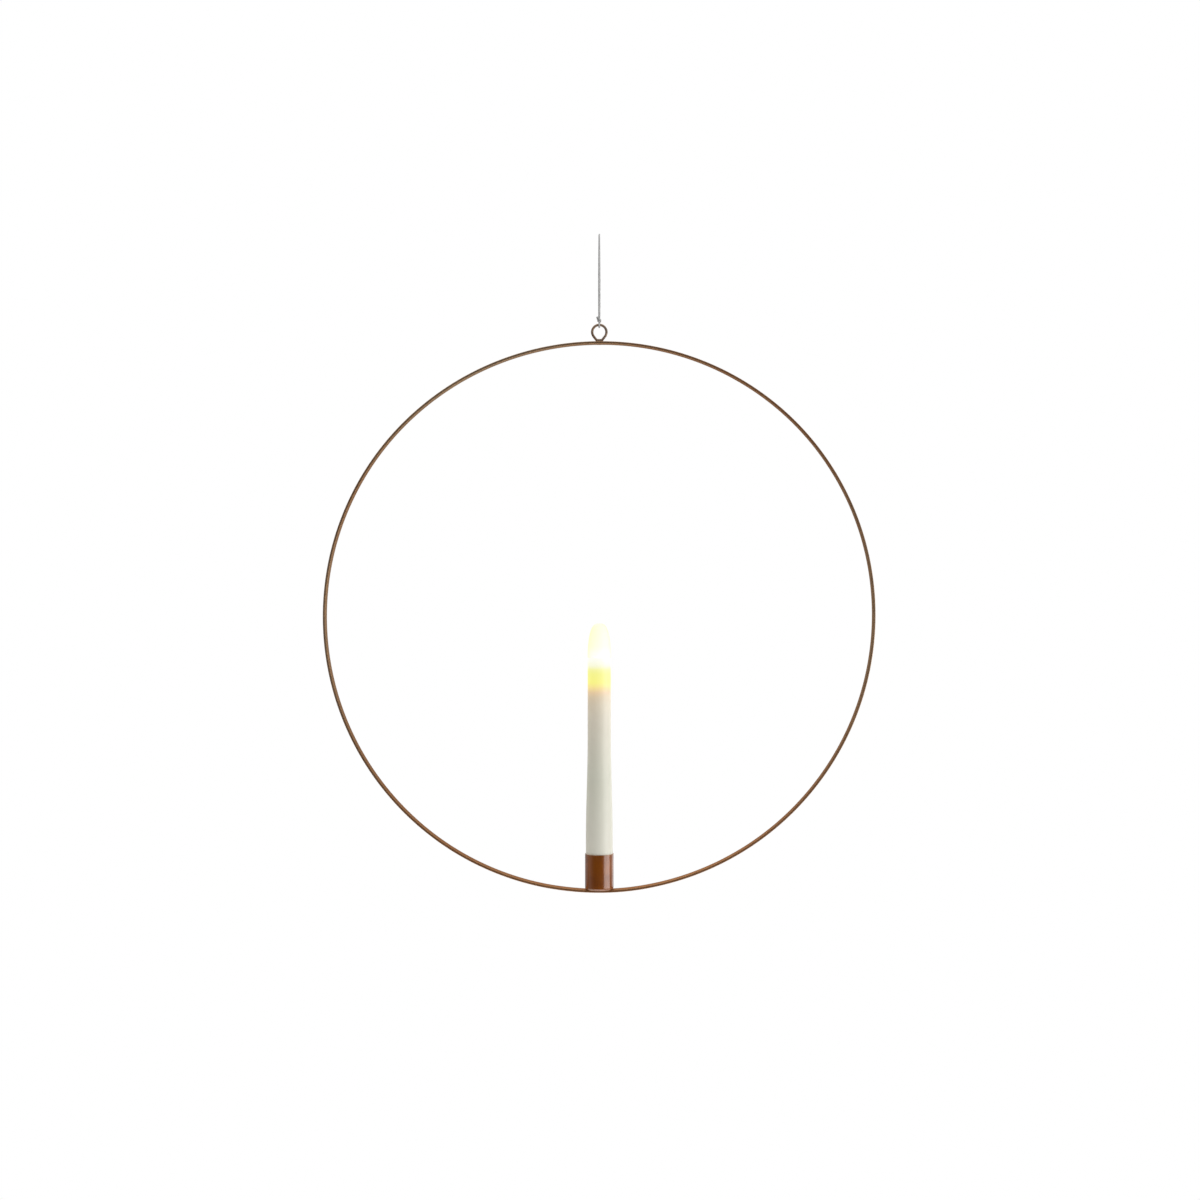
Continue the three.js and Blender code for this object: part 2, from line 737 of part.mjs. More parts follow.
// The cone-shaped spring under the lower cell, drawn as one unbroken wire.
function springGeometry() {
  const stepsPerTurn = 12;
  const wireRadius = springWireDiameter / 2;
  const footRadius = springBaseDiameter / 2 - wireRadius;
  const topRadius = springTopDiameter / 2 - wireRadius;
  const rise = springHeight - springWireDiameter - seatGap * 2;
  const helix = new ConeHelix(footRadius, topRadius, rise, springTurns);
  const steps = springTurns * stepsPerTurn;
  const points = helix.getPoints(steps);
  const gaps = points.flatMap((point, i) =>
    points.slice(i + stepsPerTurn / 2).map((other) => point.distanceTo(other) - springWireDiameter),
  );
  console.log("least gap between the spring's turns: " + Math.min(...gaps).toFixed(2) + " mm");
  const coil = tube(helix, springWireDiameter, steps, thinSides);
  return coil.translate(0, 0, springFootHeight + seatGap + wireRadius);
}

// A ring on the skirt's top edge that the strip slides on, with a tab down to the switch.
function ringContactGeometry() {
  const low = skirtTopHeight + seatGap;
  const high = ringTopHeight;
  const inner = skirtBore + seatGap;
  const outer = skirtRadius - seatGap;
  const ring = turned(
    [
      [inner, low],
      [outer, low],
      [outer, high],
      [inner, high],
      [inner, low],
    ],
    smallFacets,
  );
  const half = tabWidth / 2;
  const footLow = switchSeatHeight + switchHeight / 2;
  const bridge = block([-inner - sheetThickness, -half, low], [contactFace, half, high]);
  const tab = block([contactFace, -half, footLow], [contactFace + sheetThickness, half, high]);
  const foot = block(
    [contactFace, -half, footLow],
    [-switchLength / 2 - seatGap, half, footLow + sheetThickness],
  );
  return meshOf(join(ring, bridge, tab, foot));
}

function switchBodyGeometry() {
  const outline = roundedRectangle(switchLength, switchWidth, switchCorner);
  const body = raised(outline, switchSeatHeight, switchSeatHeight + switchHeight);
  const slot = roundedRectangle(slotLength, slotWidth, boreClearance);
  const slotTop = switchSeatHeight + switchHeight / 2;
  return meshOf(cut(solid(body), raised(slot, switchSeatHeight - cutOverrun, slotTop)));
}

function knobGeometry() {
  const top = switchSeatHeight + switchHeight / 2 - boreClearance;
  const outline = roundedRectangle(knobLength, knobWidth, boreClearance);
  return raised(outline, knobRecess, top).translate(-knobTravel / 2, 0, 0);
}

// Materials
function finish(color, roughness, metalness, extra = {}) {
  return new THREE.MeshStandardMaterial({ color, roughness, metalness, ...extra });
}

const bronzeMetal = () => finish("#8f6845", 0.42, 0.9);
const greyCord = () => finish("#a3a3a0", 0.9, 0);
const ivoryShell = () => finish("#dcd8cb", 0.45, 0);
const glowingTip = () => finish("#fff6cf", 0.4, 0, { emissive: "#ffe9a0", emissiveIntensity: 1 });
const clearLamp = () => finish("#fff3c4", 0.1, 0, { emissive: "#ffe08a", emissiveIntensity: 1 });
const whitePlastic = () => finish("#e9e7e1", 0.5, 0);
const darkPlastic = () => finish("#262626", 0.45, 0);
const greenBoard = () => finish("#2f6b3f", 0.5, 0);
const cellLabel = () => finish("#7b8085", 0.35, 0.1);
const nickelSheet = () => finish("#c6c4bc", 0.3, 1);
const tinnedLead = () => finish("#bdbdbd", 0.3, 1);
const redInsulation = () => finish("#9c2b25", 0.5, 0);
const blackInsulation = () => finish("#222222", 0.5, 0);

function piece(name, geometry, material) {
  const mesh = new THREE.Mesh(geometry, material);
  mesh.name = name;
  return mesh;
}

function assembly(z, ...children) {
  const group = new THREE.Group();
  group.position.z = z;
  group.add(...children);
  return group;
}

const tabFoot = { y: -sleeveEndHole / 2 + boreClearance + sheetThickness * 1.5, z: tabTopHeight };
const stripTop = { y: stripRadius + sheetThickness / 2, z: tabTopHeight };

const cap = assembly(
  0,
  piece("base_cap", capGeometry(), whitePlastic()),
  piece("spring_plate", plateGeometry(), nickelSheet()),
  piece("base_spring", springGeometry(), nickelSheet()),
  piece("cap_contact", ringContactGeometry(), nickelSheet()),
  piece("switch_body", switchBodyGeometry(), darkPlastic()),
  piece("switch_knob", knobGeometry(), darkPlastic()),
);

const lowerCell = piece("battery_lower", cellGeometry(), cellLabel());
lowerCell.position.z = cellFootHeight;
const upperCell = piece("battery_upper", cellGeometry(), cellLabel());
upperCell.position.z = upperCellHeight;
const lamp = piece("led_lamp", lampGeometry(), clearLamp());
lamp.position.z = lampSeatHeight;
const tip = piece("light_tip", tipGeometry(), glowingTip());
tip.position.z = shellTopHeight;

const candle = assembly(
  candleBaseHeight,
  piece("candle_shell", shellGeometry(), ivoryShell()),
  tip,
  lamp,
  piece("led_lead_plus", leadGeometry(-1), tinnedLead()),
  piece("led_lead_minus", leadGeometry(1), tinnedLead()),
  piece("led_frame", frameGeometry(), whitePlastic()),
  piece("circuit_board", boardGeometry(), greenBoard()),
  piece("timer_chip", chipGeometry(), darkPlastic()),
  piece("wire_plus", wireGeometry(-1, tabFoot), redInsulation()),
  piece("wire_minus", wireGeometry(1, stripTop), blackInsulation()),
  piece("battery_sleeve", sleeveGeometry(), whitePlastic()),
  piece("contact_strip", stripGeometry(), nickelSheet()),
  piece("top_contact", topContactGeometry(), nickelSheet()),
  lowerCell,
  upperCell,
  cap,
);

const eye = piece("hanging_eye", eyeGeometry(), bronzeMetal());
eye.position.z = eyeCentreHeight;
const cup = piece("candle_cup", cupGeometry(), bronzeMetal());
cup.position.z = cupBottomHeight;
const hoop = assembly(hoopCentreZ, piece("hoop", hoopGeometry(), bronzeMetal()), eye, cup, candle);

const knot = piece("cord_knot", knotGeometry(), greyCord());
knot.position.z = knotZ;
const wrap = piece("eye_wrap", wrapGeometry(), greyCord());
wrap.position.z = -cordHangLength;

const group = assembly(0, piece("hanging_loop", loopGeometry(), greyCord()), knot, wrap, hoop);
group.name = "candle_ring";

export default group;
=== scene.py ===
import bpy
import numpy as np
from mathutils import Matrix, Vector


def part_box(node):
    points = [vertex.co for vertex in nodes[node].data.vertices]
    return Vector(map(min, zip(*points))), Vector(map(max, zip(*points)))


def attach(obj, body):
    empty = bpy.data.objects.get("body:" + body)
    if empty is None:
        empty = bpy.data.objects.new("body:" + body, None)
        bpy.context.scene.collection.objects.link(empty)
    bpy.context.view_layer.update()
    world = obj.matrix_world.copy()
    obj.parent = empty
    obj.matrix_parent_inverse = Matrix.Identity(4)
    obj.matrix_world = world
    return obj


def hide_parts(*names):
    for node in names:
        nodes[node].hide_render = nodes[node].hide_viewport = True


# A hanging candle ring: a thin bronze hoop with a wire eye and cord at its top,
# and a battery taper candle that stands in a small cup at its foot.
# Metres, +Z up, front towards -Y. Sizes and places come from the frame and from the values below.

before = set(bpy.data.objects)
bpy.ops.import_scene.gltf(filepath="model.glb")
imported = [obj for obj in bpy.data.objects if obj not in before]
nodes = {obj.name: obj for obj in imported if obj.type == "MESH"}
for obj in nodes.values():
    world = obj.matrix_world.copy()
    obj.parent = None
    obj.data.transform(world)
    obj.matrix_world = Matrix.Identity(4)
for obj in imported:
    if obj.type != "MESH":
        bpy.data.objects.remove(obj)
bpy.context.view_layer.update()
mm = 0.001
fullTurn = 2 * np.pi
print("frame loaded:", len(nodes), "CAD nodes")


# Camera, level with the hoop's upper half and a little to its right

cameraView = {
    "place": (0.034, -1.6, -0.2828),
    "lens": 58.81,  # on a sensor 36 mm wide
    "sensor": 36,
    "shiftX": -0.03414,
    "shiftY": -0.01502,
    "clipEnd": 50,
}


def setCamera(values):
    data = bpy.data.cameras.new("viewCamera")
    data.lens = values["lens"]
    data.sensor_width = values["sensor"]
    data.shift_x = values["shiftX"]
    data.shift_y = values["shiftY"]
    data.clip_end = values["clipEnd"]
    camera = bpy.data.objects.new("viewCamera", data)
    camera.location = values["place"]
    camera.rotation_euler = (np.pi / 2, 0, 0)
    bpy.context.scene.collection.objects.link(camera)
    bpy.context.scene.camera = camera


setCamera(cameraView)
print("camera set")


# Surfaces worked out as grids of points

def unit(vectors):
    return vectors / np.linalg.norm(vectors, axis=-1, keepdims=True)


def turns(count):
    # Angles of a full turn in equal steps, the last one short of the first
    return np.arange(count) * fullTurn / count


def arcPoints(centreX, centreY, radius, start, end, steps):
    # Points at centre + radius * (cos, sin) of the angles from start to end, in degrees
    angle = np.radians(np.linspace(start, end, steps + 1))
    return np.stack([centreX + radius * np.cos(angle), centreY + radius * np.sin(angle)], axis=1)


def linePoints(start, end, steps):
    # Points at start * (1 - t) + end * t in even steps of t, without the ends themselves
    share = (np.arange(1, steps) / steps)[:, None]
    return np.array(start) * (1 - share) + np.array(end) * share


def shell(grid, closed=False, across=None, along=None):
    # One closed surface over a grid of rings: a quad between each four neighbours,
    # and at each open end a fan to the middle of the ring there. The faces are turned
    # so that the signed volume, the sum of a . (b x c) / 6, is positive.
    rings, around = grid.shape[:2]
    across = np.linspace(0, 1, around + 1) if across is None else across
    along = np.linspace(0, 1, rings + 1 if closed else rings) if along is None else along
    row, column = np.meshgrid(np.arange(rings if closed else rings - 1), np.arange(around), indexing="ij")
    cornerRow = np.stack([row, row, row + 1, row + 1], axis=-1).reshape(-1, 4)
    cornerColumn = np.stack([column, column + 1, column + 1, column], axis=-1).reshape(-1, 4)
    quads = cornerRow % rings * around + cornerColumn % around
    quadUvs = np.stack([across[cornerColumn], along[cornerRow]], axis=-1)
    points = grid.reshape(-1, 3)
    fans = np.zeros((0, 3), int)
    fanUvs = np.zeros((0, 3, 2))
    if not closed:
        here = np.arange(around)
        after = (here + 1) % around
        low = np.full(around, len(points))
        lastRow = (rings - 1) * around
        fans = np.vstack([
            np.stack([after, here, low], axis=1),
            np.stack([here + lastRow, after + lastRow, low + 1], axis=1),
        ])
        between = (across[here] + across[here + 1]) / 2
        firstUvs = np.stack([across[here + 1], across[here], between], axis=1)
        lastUvs = firstUvs[:, [1, 0, 2]]
        fanUvs = np.vstack([
            np.stack([firstUvs, np.full((around, 3), along[0])], axis=-1),
            np.stack([lastUvs, np.full((around, 3), along[-1])], axis=-1),
        ])
        points = np.vstack([points, grid[[0, -1]].mean(axis=1)])
    triangles = np.vstack([quads[:, [0, 1, 2]], quads[:, [0, 2, 3]], fans])
    a, b, c = (points[triangles[:, i]] for i in range(3))
    if (a * np.cross(b, c)).sum() < 0:
        quads, quadUvs, fans, fanUvs = quads[:, ::-1], quadUvs[:, ::-1], fans[:, ::-1], fanUvs[:, ::-1]
    return {"points": points, "quads": quads, "fans": fans, "quadUvs": quadUvs, "fanUvs": fanUvs}


def turned(profile, around, bend=None):
    # A profile of (radius, height) turned about Z: (r cos a, r sin a, h);
    # bend, if given, changes r as a function of the angle and the height.
    angle = turns(around)[None, :]
    radius = profile[:, :1] * np.ones_like(angle)
    height = profile[:, 1:] * np.ones_like(angle)
    if bend is not None:
        radius = radius + bend(angle, height)
    return np.stack([radius * np.cos(angle), radius * np.sin(angle), height], axis=-1)


def tubeGrid(path, side, radius, around, twist=0.0):
    # Rings about the points of a path: centre + r (cos a * first + sin a * second), where first is
    # the side direction made square to the path, and second is the cross product of both.
    tangent = unit(np.gradient(path, axis=0))
    side = np.broadcast_to(np.asarray(side, float), path.shape)
    first = unit(side - (side * tangent).sum(axis=-1, keepdims=True) * tangent)
    second = np.cross(tangent, first)
    angle = turns(around)[None, :] + np.reshape(twist, (-1, 1))
    radius = np.broadcast_to(radius, (len(path), around))
    offset = np.cos(angle)[..., None] * first[:, None] + np.sin(angle)[..., None] * second[:, None]
    return path[:, None] + radius[..., None] * offset


def pathLength(path):
    # Distance from the path's start to each of its points
    return np.concatenate([[0], np.cumsum(np.linalg.norm(np.diff(path, axis=0), axis=1))])


def smoothPath(points, spacing):
    # A smooth curve through given points: each span is a cubic Hermite with the tangents
    # (next - previous) / 2, and the whole is cut into even steps.
    points = np.array(points, float)
    padded = np.vstack([2 * points[0] - points[1], points, 2 * points[-1] - points[-2]])
    before, start, end, after = (padded[i:len(padded) - 3 + i, None] for i in range(4))
    fineSteps = 40  # in each span, before the even cut
    t = (np.arange(fineSteps) / fineSteps)[None, :, None]
    cubic = ((2 * t ** 3 - 3 * t ** 2 + 1) * start + (t ** 3 - 2 * t ** 2 + t) * (end - before) / 2
             + (3 * t ** 2 - 2 * t ** 3) * end + (t ** 3 - t ** 2) * (after - start) / 2)
    fine = np.vstack([cubic.reshape(-1, 3), points[-1:]])
    distance = pathLength(fine)
    steps = max(2, int(round(distance[-1] / spacing)) + 1)
    even = np.linspace(0, distance[-1], steps)
    return np.stack([np.interp(even, distance, fine[:, i]) for i in range(3)], axis=1)


def makePiece(name, shells, material, body, replaced=(), masks=None):
    # One mesh object from one or more closed surfaces, riding on its body. A mask gives its points
    # a value each, and is repeated where it is shorter.
    shells = [shells] if isinstance(shells, dict) else shells
    offsets = np.cumsum([0] + [len(s["points"]) for s in shells[:-1]])
    quads = np.vstack([s["quads"] + offset for s, offset in zip(shells, offsets)])
    fans = np.vstack([s["fans"] + offset for s, offset in zip(shells, offsets)])
    mesh = bpy.data.meshes.new(name)
    mesh.from_pydata(np.vstack([s["points"] for s in shells]).tolist(), [], quads.tolist() + fans.tolist())
    uvs = [s["quadUvs"].reshape(-1, 2) for s in shells] + [s["fanUvs"].reshape(-1, 2) for s in shells]
    mesh.uv_layers.new(name="surface").uv.foreach_set("vector", np.vstack(uvs).astype(np.float32).ravel())
    for title, values in (masks or {}).items():
        attribute = mesh.attributes.new(title, "FLOAT", "POINT")
        attribute.data.foreach_set("value", np.resize(values, len(mesh.vertices)).astype(np.float32))
    mesh.polygons.foreach_set("use_smooth", np.ones(len(mesh.polygons), bool))
    mesh.materials.append(material)
    mesh.update()
    obj = bpy.data.objects.new(name, mesh)
    bpy.context.scene.collection.objects.link(obj)
    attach(obj, body)
    if replaced:
        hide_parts(*replaced)
    return obj


# Shader groups that several finishes share

def addNode(tree, kind, x, y, inputs=None, **settings):
    node = tree.nodes.new(kind)
    node.location = (x, y)
    for key, value in settings.items():
        setattr(node, key, value)
    for key, value in (inputs or {}).items():
        node.inputs[key].default_value = value
    return node


def newGroup(title, inputs, outputs):
    # An input's kind follows from its starting value: one number, a vector of three or a colour of four
    group = bpy.data.node_groups.new(title, "ShaderNodeTree")
    for name, value in inputs.items():
        kind = {1: "Float", 3: "Vector", 4: "Color"}[np.size(value)]
        socket = group.interface.new_socket(name, in_out="INPUT", socket_type="NodeSocket" + kind)
        socket.default_value = value
    for name in outputs:
        kind = "Color" if name == "Color" else "Float"
        group.interface.new_socket(name, in_out="OUTPUT", socket_type="NodeSocket" + kind)
    source = addNode(group, "NodeGroupInput", -900, 0)
    target = addNode(group, "NodeGroupOutput", 600, 0)
    return group, source.outputs, target.inputs


def calculate(tree, operation, first, second, x, y):
    # A math node on a socket and on a second socket or a number
    node = addNode(tree, "ShaderNodeMath", x, y, operation=operation)
    tree.links.new(first, node.inputs[0])
    if isinstance(second, float):
        node.inputs[1].default_value = second
    else:
        tree.links.new(second, node.inputs[1])
    return node.outputs[0]


def mixColors(tree, factor, first, second, x, y, mode="MIX"):
    # A colour mix whose factor and colours are each a socket or a plain value
    mix = addNode(tree, "ShaderNodeMix", x, y, data_type="RGBA", blend_type=mode)
    for place, given in ((0, factor), (6, first), (7, second)):
        if isinstance(given, bpy.types.NodeSocket):
            tree.links.new(given, mix.inputs[place])
        else:
            mix.inputs[place].default_value = given
    return mix.outputs[2]


def rampFrom(tree, value, low, high, toLow, toHigh, x, y, step="LINEAR"):
    # The value's way from low to high, laid over the way from toLow to toHigh
    ramp = addNode(tree, "ShaderNodeMapRange", x, y,
                   {"From Min": low, "From Max": high, "To Min": toLow, "To Max": toHigh},
                   interpolation_type=step)
    tree.links.new(value, ramp.inputs["Value"])
    return ramp.outputs["Result"]


def noiseMask(group, vector, scale, y, detail, roughness, low, high):
    # Noise, stepped smoothly from 0 where it is low to 1 where it is high
    noise = addNode(group, "ShaderNodeTexNoise", -650, y, {"Detail": detail, "Roughness": roughness})
    group.links.new(vector, noise.inputs["Vector"])
    group.links.new(scale, noise.inputs["Scale"])
    return rampFrom(group, noise.outputs["Fac"], low, high, 0, 1, -400, y, "SMOOTHSTEP")


def patinaGroup():
    # Broad clouds shift the colour to the tarnished one, and small flecks to the bright one
    group, source, target = newGroup(
        "patina",
        {"Vector": (0, 0, 0), "Clean": (0.3, 0.1, 0.03, 1), "Tarnished": (0.1, 0.03, 0.01, 1),
         "Bright": (0.5, 0.3, 0.1, 1), "Scale": 60.0, "Tarnish": 0.5, "Flecks": 0.2},
        ["Color", "Cloud"],
    )
    fineScale = calculate(group, "MULTIPLY", source["Scale"], 7.0, -850, -150)
    cloud = noiseMask(group, source["Vector"], source["Scale"], 200,
                      detail=6, roughness=0.6, low=0.38, high=0.66)
    fleck = noiseMask(group, source["Vector"], fineScale, -150,
                      detail=3, roughness=0.55, low=0.56, high=0.72)
    cloudShare = calculate(group, "MULTIPLY", cloud, source["Tarnish"], -200, 200)
    fleckShare = calculate(group, "MULTIPLY", fleck, source["Flecks"], -200, -150)
    tarnished = mixColors(group, cloudShare, source["Clean"], source["Tarnished"], 50, 200)
    flecked = mixColors(group, fleckShare, tarnished, source["Bright"], 300, 100)
    group.links.new(flecked, target["Color"])
    group.links.new(cloud, target["Cloud"])
    return group


def grainGroup():
    # Noise drawn out along one direction, for brushing, drawing marks and moulding texture:
    # 0.5 + contrast * (noise - 0.5)
    group, source, target = newGroup(
        "grain",
        {"Vector": (0, 0, 0), "Stretch": (1, 1, 1), "Scale": 400.0, "Detail": 4.0, "Contrast": 1.0},
        ["Value"],
    )
    link = group.links.new
    stretch = addNode(group, "ShaderNodeVectorMath", -650, 0, operation="MULTIPLY")
    noise = addNode(group, "ShaderNodeTexNoise", -400, 0, {"Roughness": 0.6})
    link(source["Vector"], stretch.inputs[0])
    link(source["Stretch"], stretch.inputs[1])
    link(stretch.outputs[0], noise.inputs["Vector"])
    link(source["Scale"], noise.inputs["Scale"])
    link(source["Detail"], noise.inputs["Detail"])
    centred = calculate(group, "SUBTRACT", noise.outputs["Fac"], 0.5, 0, 0)
    spread = calculate(group, "MULTIPLY", centred, source["Contrast"], 200, 0)
    link(calculate(group, "ADD", spread, 0.5, 400, 0), target["Value"])
    return group


def edgeWearGroup():
    # An edge mask broken up by noise, so that only parts of an edge are worn
    group, source, target = newGroup(
        "edgeWear", {"Vector": (0, 0, 0), "Edge": 0.0, "Scale": 150.0, "Amount": 0.5}, ["Worn"])
    patches = noiseMask(group, source["Vector"], source["Scale"], 0,
                        detail=5, roughness=0.65, low=0.42, high=0.6)
    onEdge = calculate(group, "MULTIPLY", patches, source["Edge"], -100, 0)
    worn = calculate(group, "MULTIPLY", onEdge, source["Amount"], 150, 0)
    group.links.new(worn, target["Worn"])
    return group


def mottleGroup():
    # Two close colours in soft clouds, for plastic and cord
    group, source, target = newGroup(
        "mottle",
        {"Vector": (0, 0, 0), "Main": (0.8, 0.8, 0.8, 1), "Second": (0.7, 0.7, 0.7, 1), "Scale": 40.0,
         "Amount": 0.5},
        ["Color"],
    )
    cloud = noiseMask(group, source["Vector"], source["Scale"], 0,
                      detail=4, roughness=0.55, low=0.35, high=0.65)
    share = calculate(group, "MULTIPLY", cloud, source["Amount"], -100, 0)
    group.links.new(mixColors(group, share, source["Main"], source["Second"], 150, 0), target["Color"])
    return group


groups = {
    "patina": patinaGroup(), "grain": grainGroup(), "edgeWear": edgeWearGroup(), "mottle": mottleGroup(),
}


def newMaterial(name, **constants):
    # A material with a Principled BSDF whose constant sockets are set here
    material = bpy.data.materials.new(name)
    material.use_nodes = True
    tree = material.node_tree
    tree.nodes.clear()
    output = addNode(tree, "ShaderNodeOutputMaterial", 700, 0)
    principled = addNode(tree, "ShaderNodeBsdfPrincipled", 400, 0)
    for key, value in constants.items():
        principled.inputs[key].default_value = value
    tree.links.new(principled.outputs["BSDF"], output.inputs["Surface"])
    return material, tree, principled


def useGroup(tree, title, x, y, **values):
    return addNode(tree, "ShaderNodeGroup", x, y, values, node_tree=groups[title])


def objectCoords(tree):
    return addNode(tree, "ShaderNodeTexCoord", -1100, 0).outputs["Object"]


def surfaceCoords(tree):
    # The piece's own UV map
    return addNode(tree, "ShaderNodeUVMap", -1000, -150, uv_map="surface").outputs["UV"]


def heightOf(tree, coords):
    parts = addNode(tree, "ShaderNodeSeparateXYZ", -900, -300)
    tree.links.new(coords, parts.inputs["Vector"])
    return parts.outputs["Z"]


def addBump(tree, height, principled, strength, distance):
    bump = addNode(tree, "ShaderNodeBump", 200, -350, {"Strength": strength, "Distance": distance})
    tree.links.new(height, bump.inputs["Height"])
    tree.links.new(bump.outputs["Normal"], principled.inputs["Normal"])


def cloudsAndGrain(tree, coords, clouds, grain):
    # The tint of soft clouds and the value of a fine grain
    cloudNode = useGroup(tree, "mottle", -700, 300, **clouds)
    grainNode = useGroup(tree, "grain", -700, 0, **grain)
    tree.links.new(coords, cloudNode.inputs["Vector"])
    tree.links.new(coords, grainNode.inputs["Vector"])
    return cloudNode.outputs["Color"], grainNode.outputs["Value"]


def platedMetal(name, values):
    # Plating with patina and brushing, worn bright on the edges; a finish may add a clear coat
    material, tree, principled = newMaterial(name, **values["shader"])
    link = tree.links.new
    coords = objectCoords(tree)
    patina = useGroup(tree, "patina", -600, 250, **values["patina"])
    grain = useGroup(tree, "grain", -600, -150, **values["grain"])
    wear = useGroup(tree, "edgeWear", -600, -450, **values["wear"])
    edge = addNode(tree, "ShaderNodeAttribute", -850, -450, attribute_name="edge")
    link(coords, patina.inputs["Vector"])
    link(coords, wear.inputs["Vector"])
    link(edge.outputs["Fac"], wear.inputs["Edge"])
    link(surfaceCoords(tree) if values["grainFollows"] == "uv" else coords, grain.inputs["Vector"])
    # Painted light: a piece is paler where its attribute for that is set
    paintedLight = addNode(tree, "ShaderNodeAttribute", -850, 450, attribute_name="paintedLight")
    toned = mixColors(tree, paintedLight.outputs["Fac"], patina.outputs["Color"], values["paintedLightColor"], -400, 450)
    worn = mixColors(tree, wear.outputs["Worn"], toned, values["wornColor"], -250, 250)
    streaked = mixColors(tree, values["streaks"], worn, grain.outputs["Value"], 0, 250, "MULTIPLY")
    link(streaked, principled.inputs["Base Color"])
    low, high = values["roughness"]
    link(rampFrom(tree, patina.outputs["Cloud"], 0, 1, low, high, -250, 0), principled.inputs["Roughness"])
    addBump(tree, grain.outputs["Value"], principled, strength=values["bump"], distance=0.1 * mm)
    return material


# The cup's finish, and what differs from it on the hoop, the eye and the braze

cupFinish = {
    "shader": {"Metallic": 0.18, "Specular IOR Level": 0.3, "Coat Weight": 1.0, "Coat Roughness": 0.2,
               "Coat IOR": 1.75},
    "patina": {"Clean": (0.36, 0.092, 0.002, 1), "Tarnished": (0.26, 0.06, 0.001, 1),
               "Bright": (0.42, 0.14, 0.01, 1), "Scale": 55.0, "Tarnish": 0.75, "Flecks": 0.3},
    "grain": {"Stretch": (1, 1, 0.05), "Scale": 800.0, "Detail": 4.0, "Contrast": 1.2},
    "grainFollows": "object",
    "streaks": 0.25,
    "wear": {"Scale": 120.0, "Amount": 0.6},
    "wornColor": (0.62, 0.36, 0.17, 1),
    # the colour of the painted light, where a piece asks for it
    "paintedLightColor": (0.5, 0.37, 0.24, 1),
    "roughness": (0.38, 0.5),
    "bump": 0.25,
}
hoopFinish = {
    **cupFinish,
    "shader": {"Metallic": 0.7, "Specular IOR Level": 0.2, "Specular Tint": (0.6, 0.36, 0.2, 1)},
    "patina": {"Clean": (0.47, 0.235, 0.115, 1), "Tarnished": (0.34, 0.155, 0.073, 1),
               "Bright": (0.55, 0.31, 0.14, 1), "Scale": 30.0, "Tarnish": 0.85, "Flecks": 0.3},
    "grain": {"Stretch": (1, 0.04, 1), "Scale": 40.0, "Detail": 5.0, "Contrast": 1.2},
    "grainFollows": "uv",
    "streaks": 0.15,
    "wear": {"Scale": 60.0, "Amount": 0.35},
    "bump": 0.3,
}
eyeFinish = {
    **cupFinish,
    "shader": {"Metallic": 0.6, "Specular IOR Level": 0.3, "Specular Tint": (0.7, 0.5, 0.35, 1)},
    "patina": {"Clean": (0.42, 0.325, 0.26, 1), "Tarnished": (0.31, 0.22, 0.165, 1),
               "Bright": (0.55, 0.29, 0.12, 1), "Scale": 110.0, "Tarnish": 0.6, "Flecks": 0.6},
    "streaks": 0.15,
    "bump": 0.12,
}
brazeFinish = {**hoopFinish, "grainFollows": "object", "wornColor": (0.5, 0.26, 0.1, 1)}


# Cord: three plies laid in a helix, tied as a doubled loop

cordValues = {
    "diameter": 1.3 * mm,
    "hookDiameter": 5 * mm,  # of the hook that it hangs on
    "strandOffset": 0.85 * mm,  # each strand's distance from the loop's middle, at the knot
    "plies": 3,
    "layLength": 3.4 * mm,  # one full turn of the plies
    "plyOffset": 0.38,  # of the cord's radius
    # painted shade, in the grooves between the plies and on the knot
    "grooveColor": (0.38, 0.375, 0.36, 1),
    "grooveShade": 0.4,  # painted shade: the share of that colour in the grooves between the plies
    "fibreShade": 0.2,
    "fibreTurn": -24,  # degrees, by which the fibres lie across the plies
    "ringStep": 0.25 * mm,
    "around": 24,
    "knotHeight": -70 * mm,
    "wrapGap": 0.12 * mm,  # between the cord and the eye's wire
    "wrapSize": 1.15,  # the cord is pressed wider there
    "wrapSpread": 0.25 * mm,  # from the middle to where each end of the turn aims, in the knot
    "wrapEndGap": 0.95 * mm,  # by which they stop short of it
    "wrapStep": 0.7,  # of the ring step
    "loopTurn": 18,  # degrees by which the strands are turned at the knot, so that both show from the front
    "neckNest": 0.35 * mm,  # by which the necks reach into the loop's ends
    "coilStart": 70,  # degrees, where the knot's turns begin
    "coilRadius": 0.85 * mm,  # of those turns, then their number and their reach up and down from its middle
    "coilTurns": 2.2,
    "coilSteps": 84,
    "coilTop": 1.75 * mm,
    "coilFoot": -0.72 * mm,
    "coilSize": 1.3,  # the turns' thickness as a share of the cord's, and then the necks' and the tail's
    "neckSize": 0.97,
    "tailSize": 1.65,
    "tailPoints": [(0.35, -0.62, -0.6), (-0.35, -0.85, 0.35), (-0.95, -0.85, 1.6),
                   (-1.4, -0.7, 2.75), (-1.9, -0.65, 3.7)],  # millimetres from the knot's middle
    "knotPaintedShade": 0.6,  # painted shade all over the knot, so that it is a little darker
    "main": (0.86, 0.855, 0.845, 1),
    "shade": (0.77, 0.765, 0.755, 1),
}


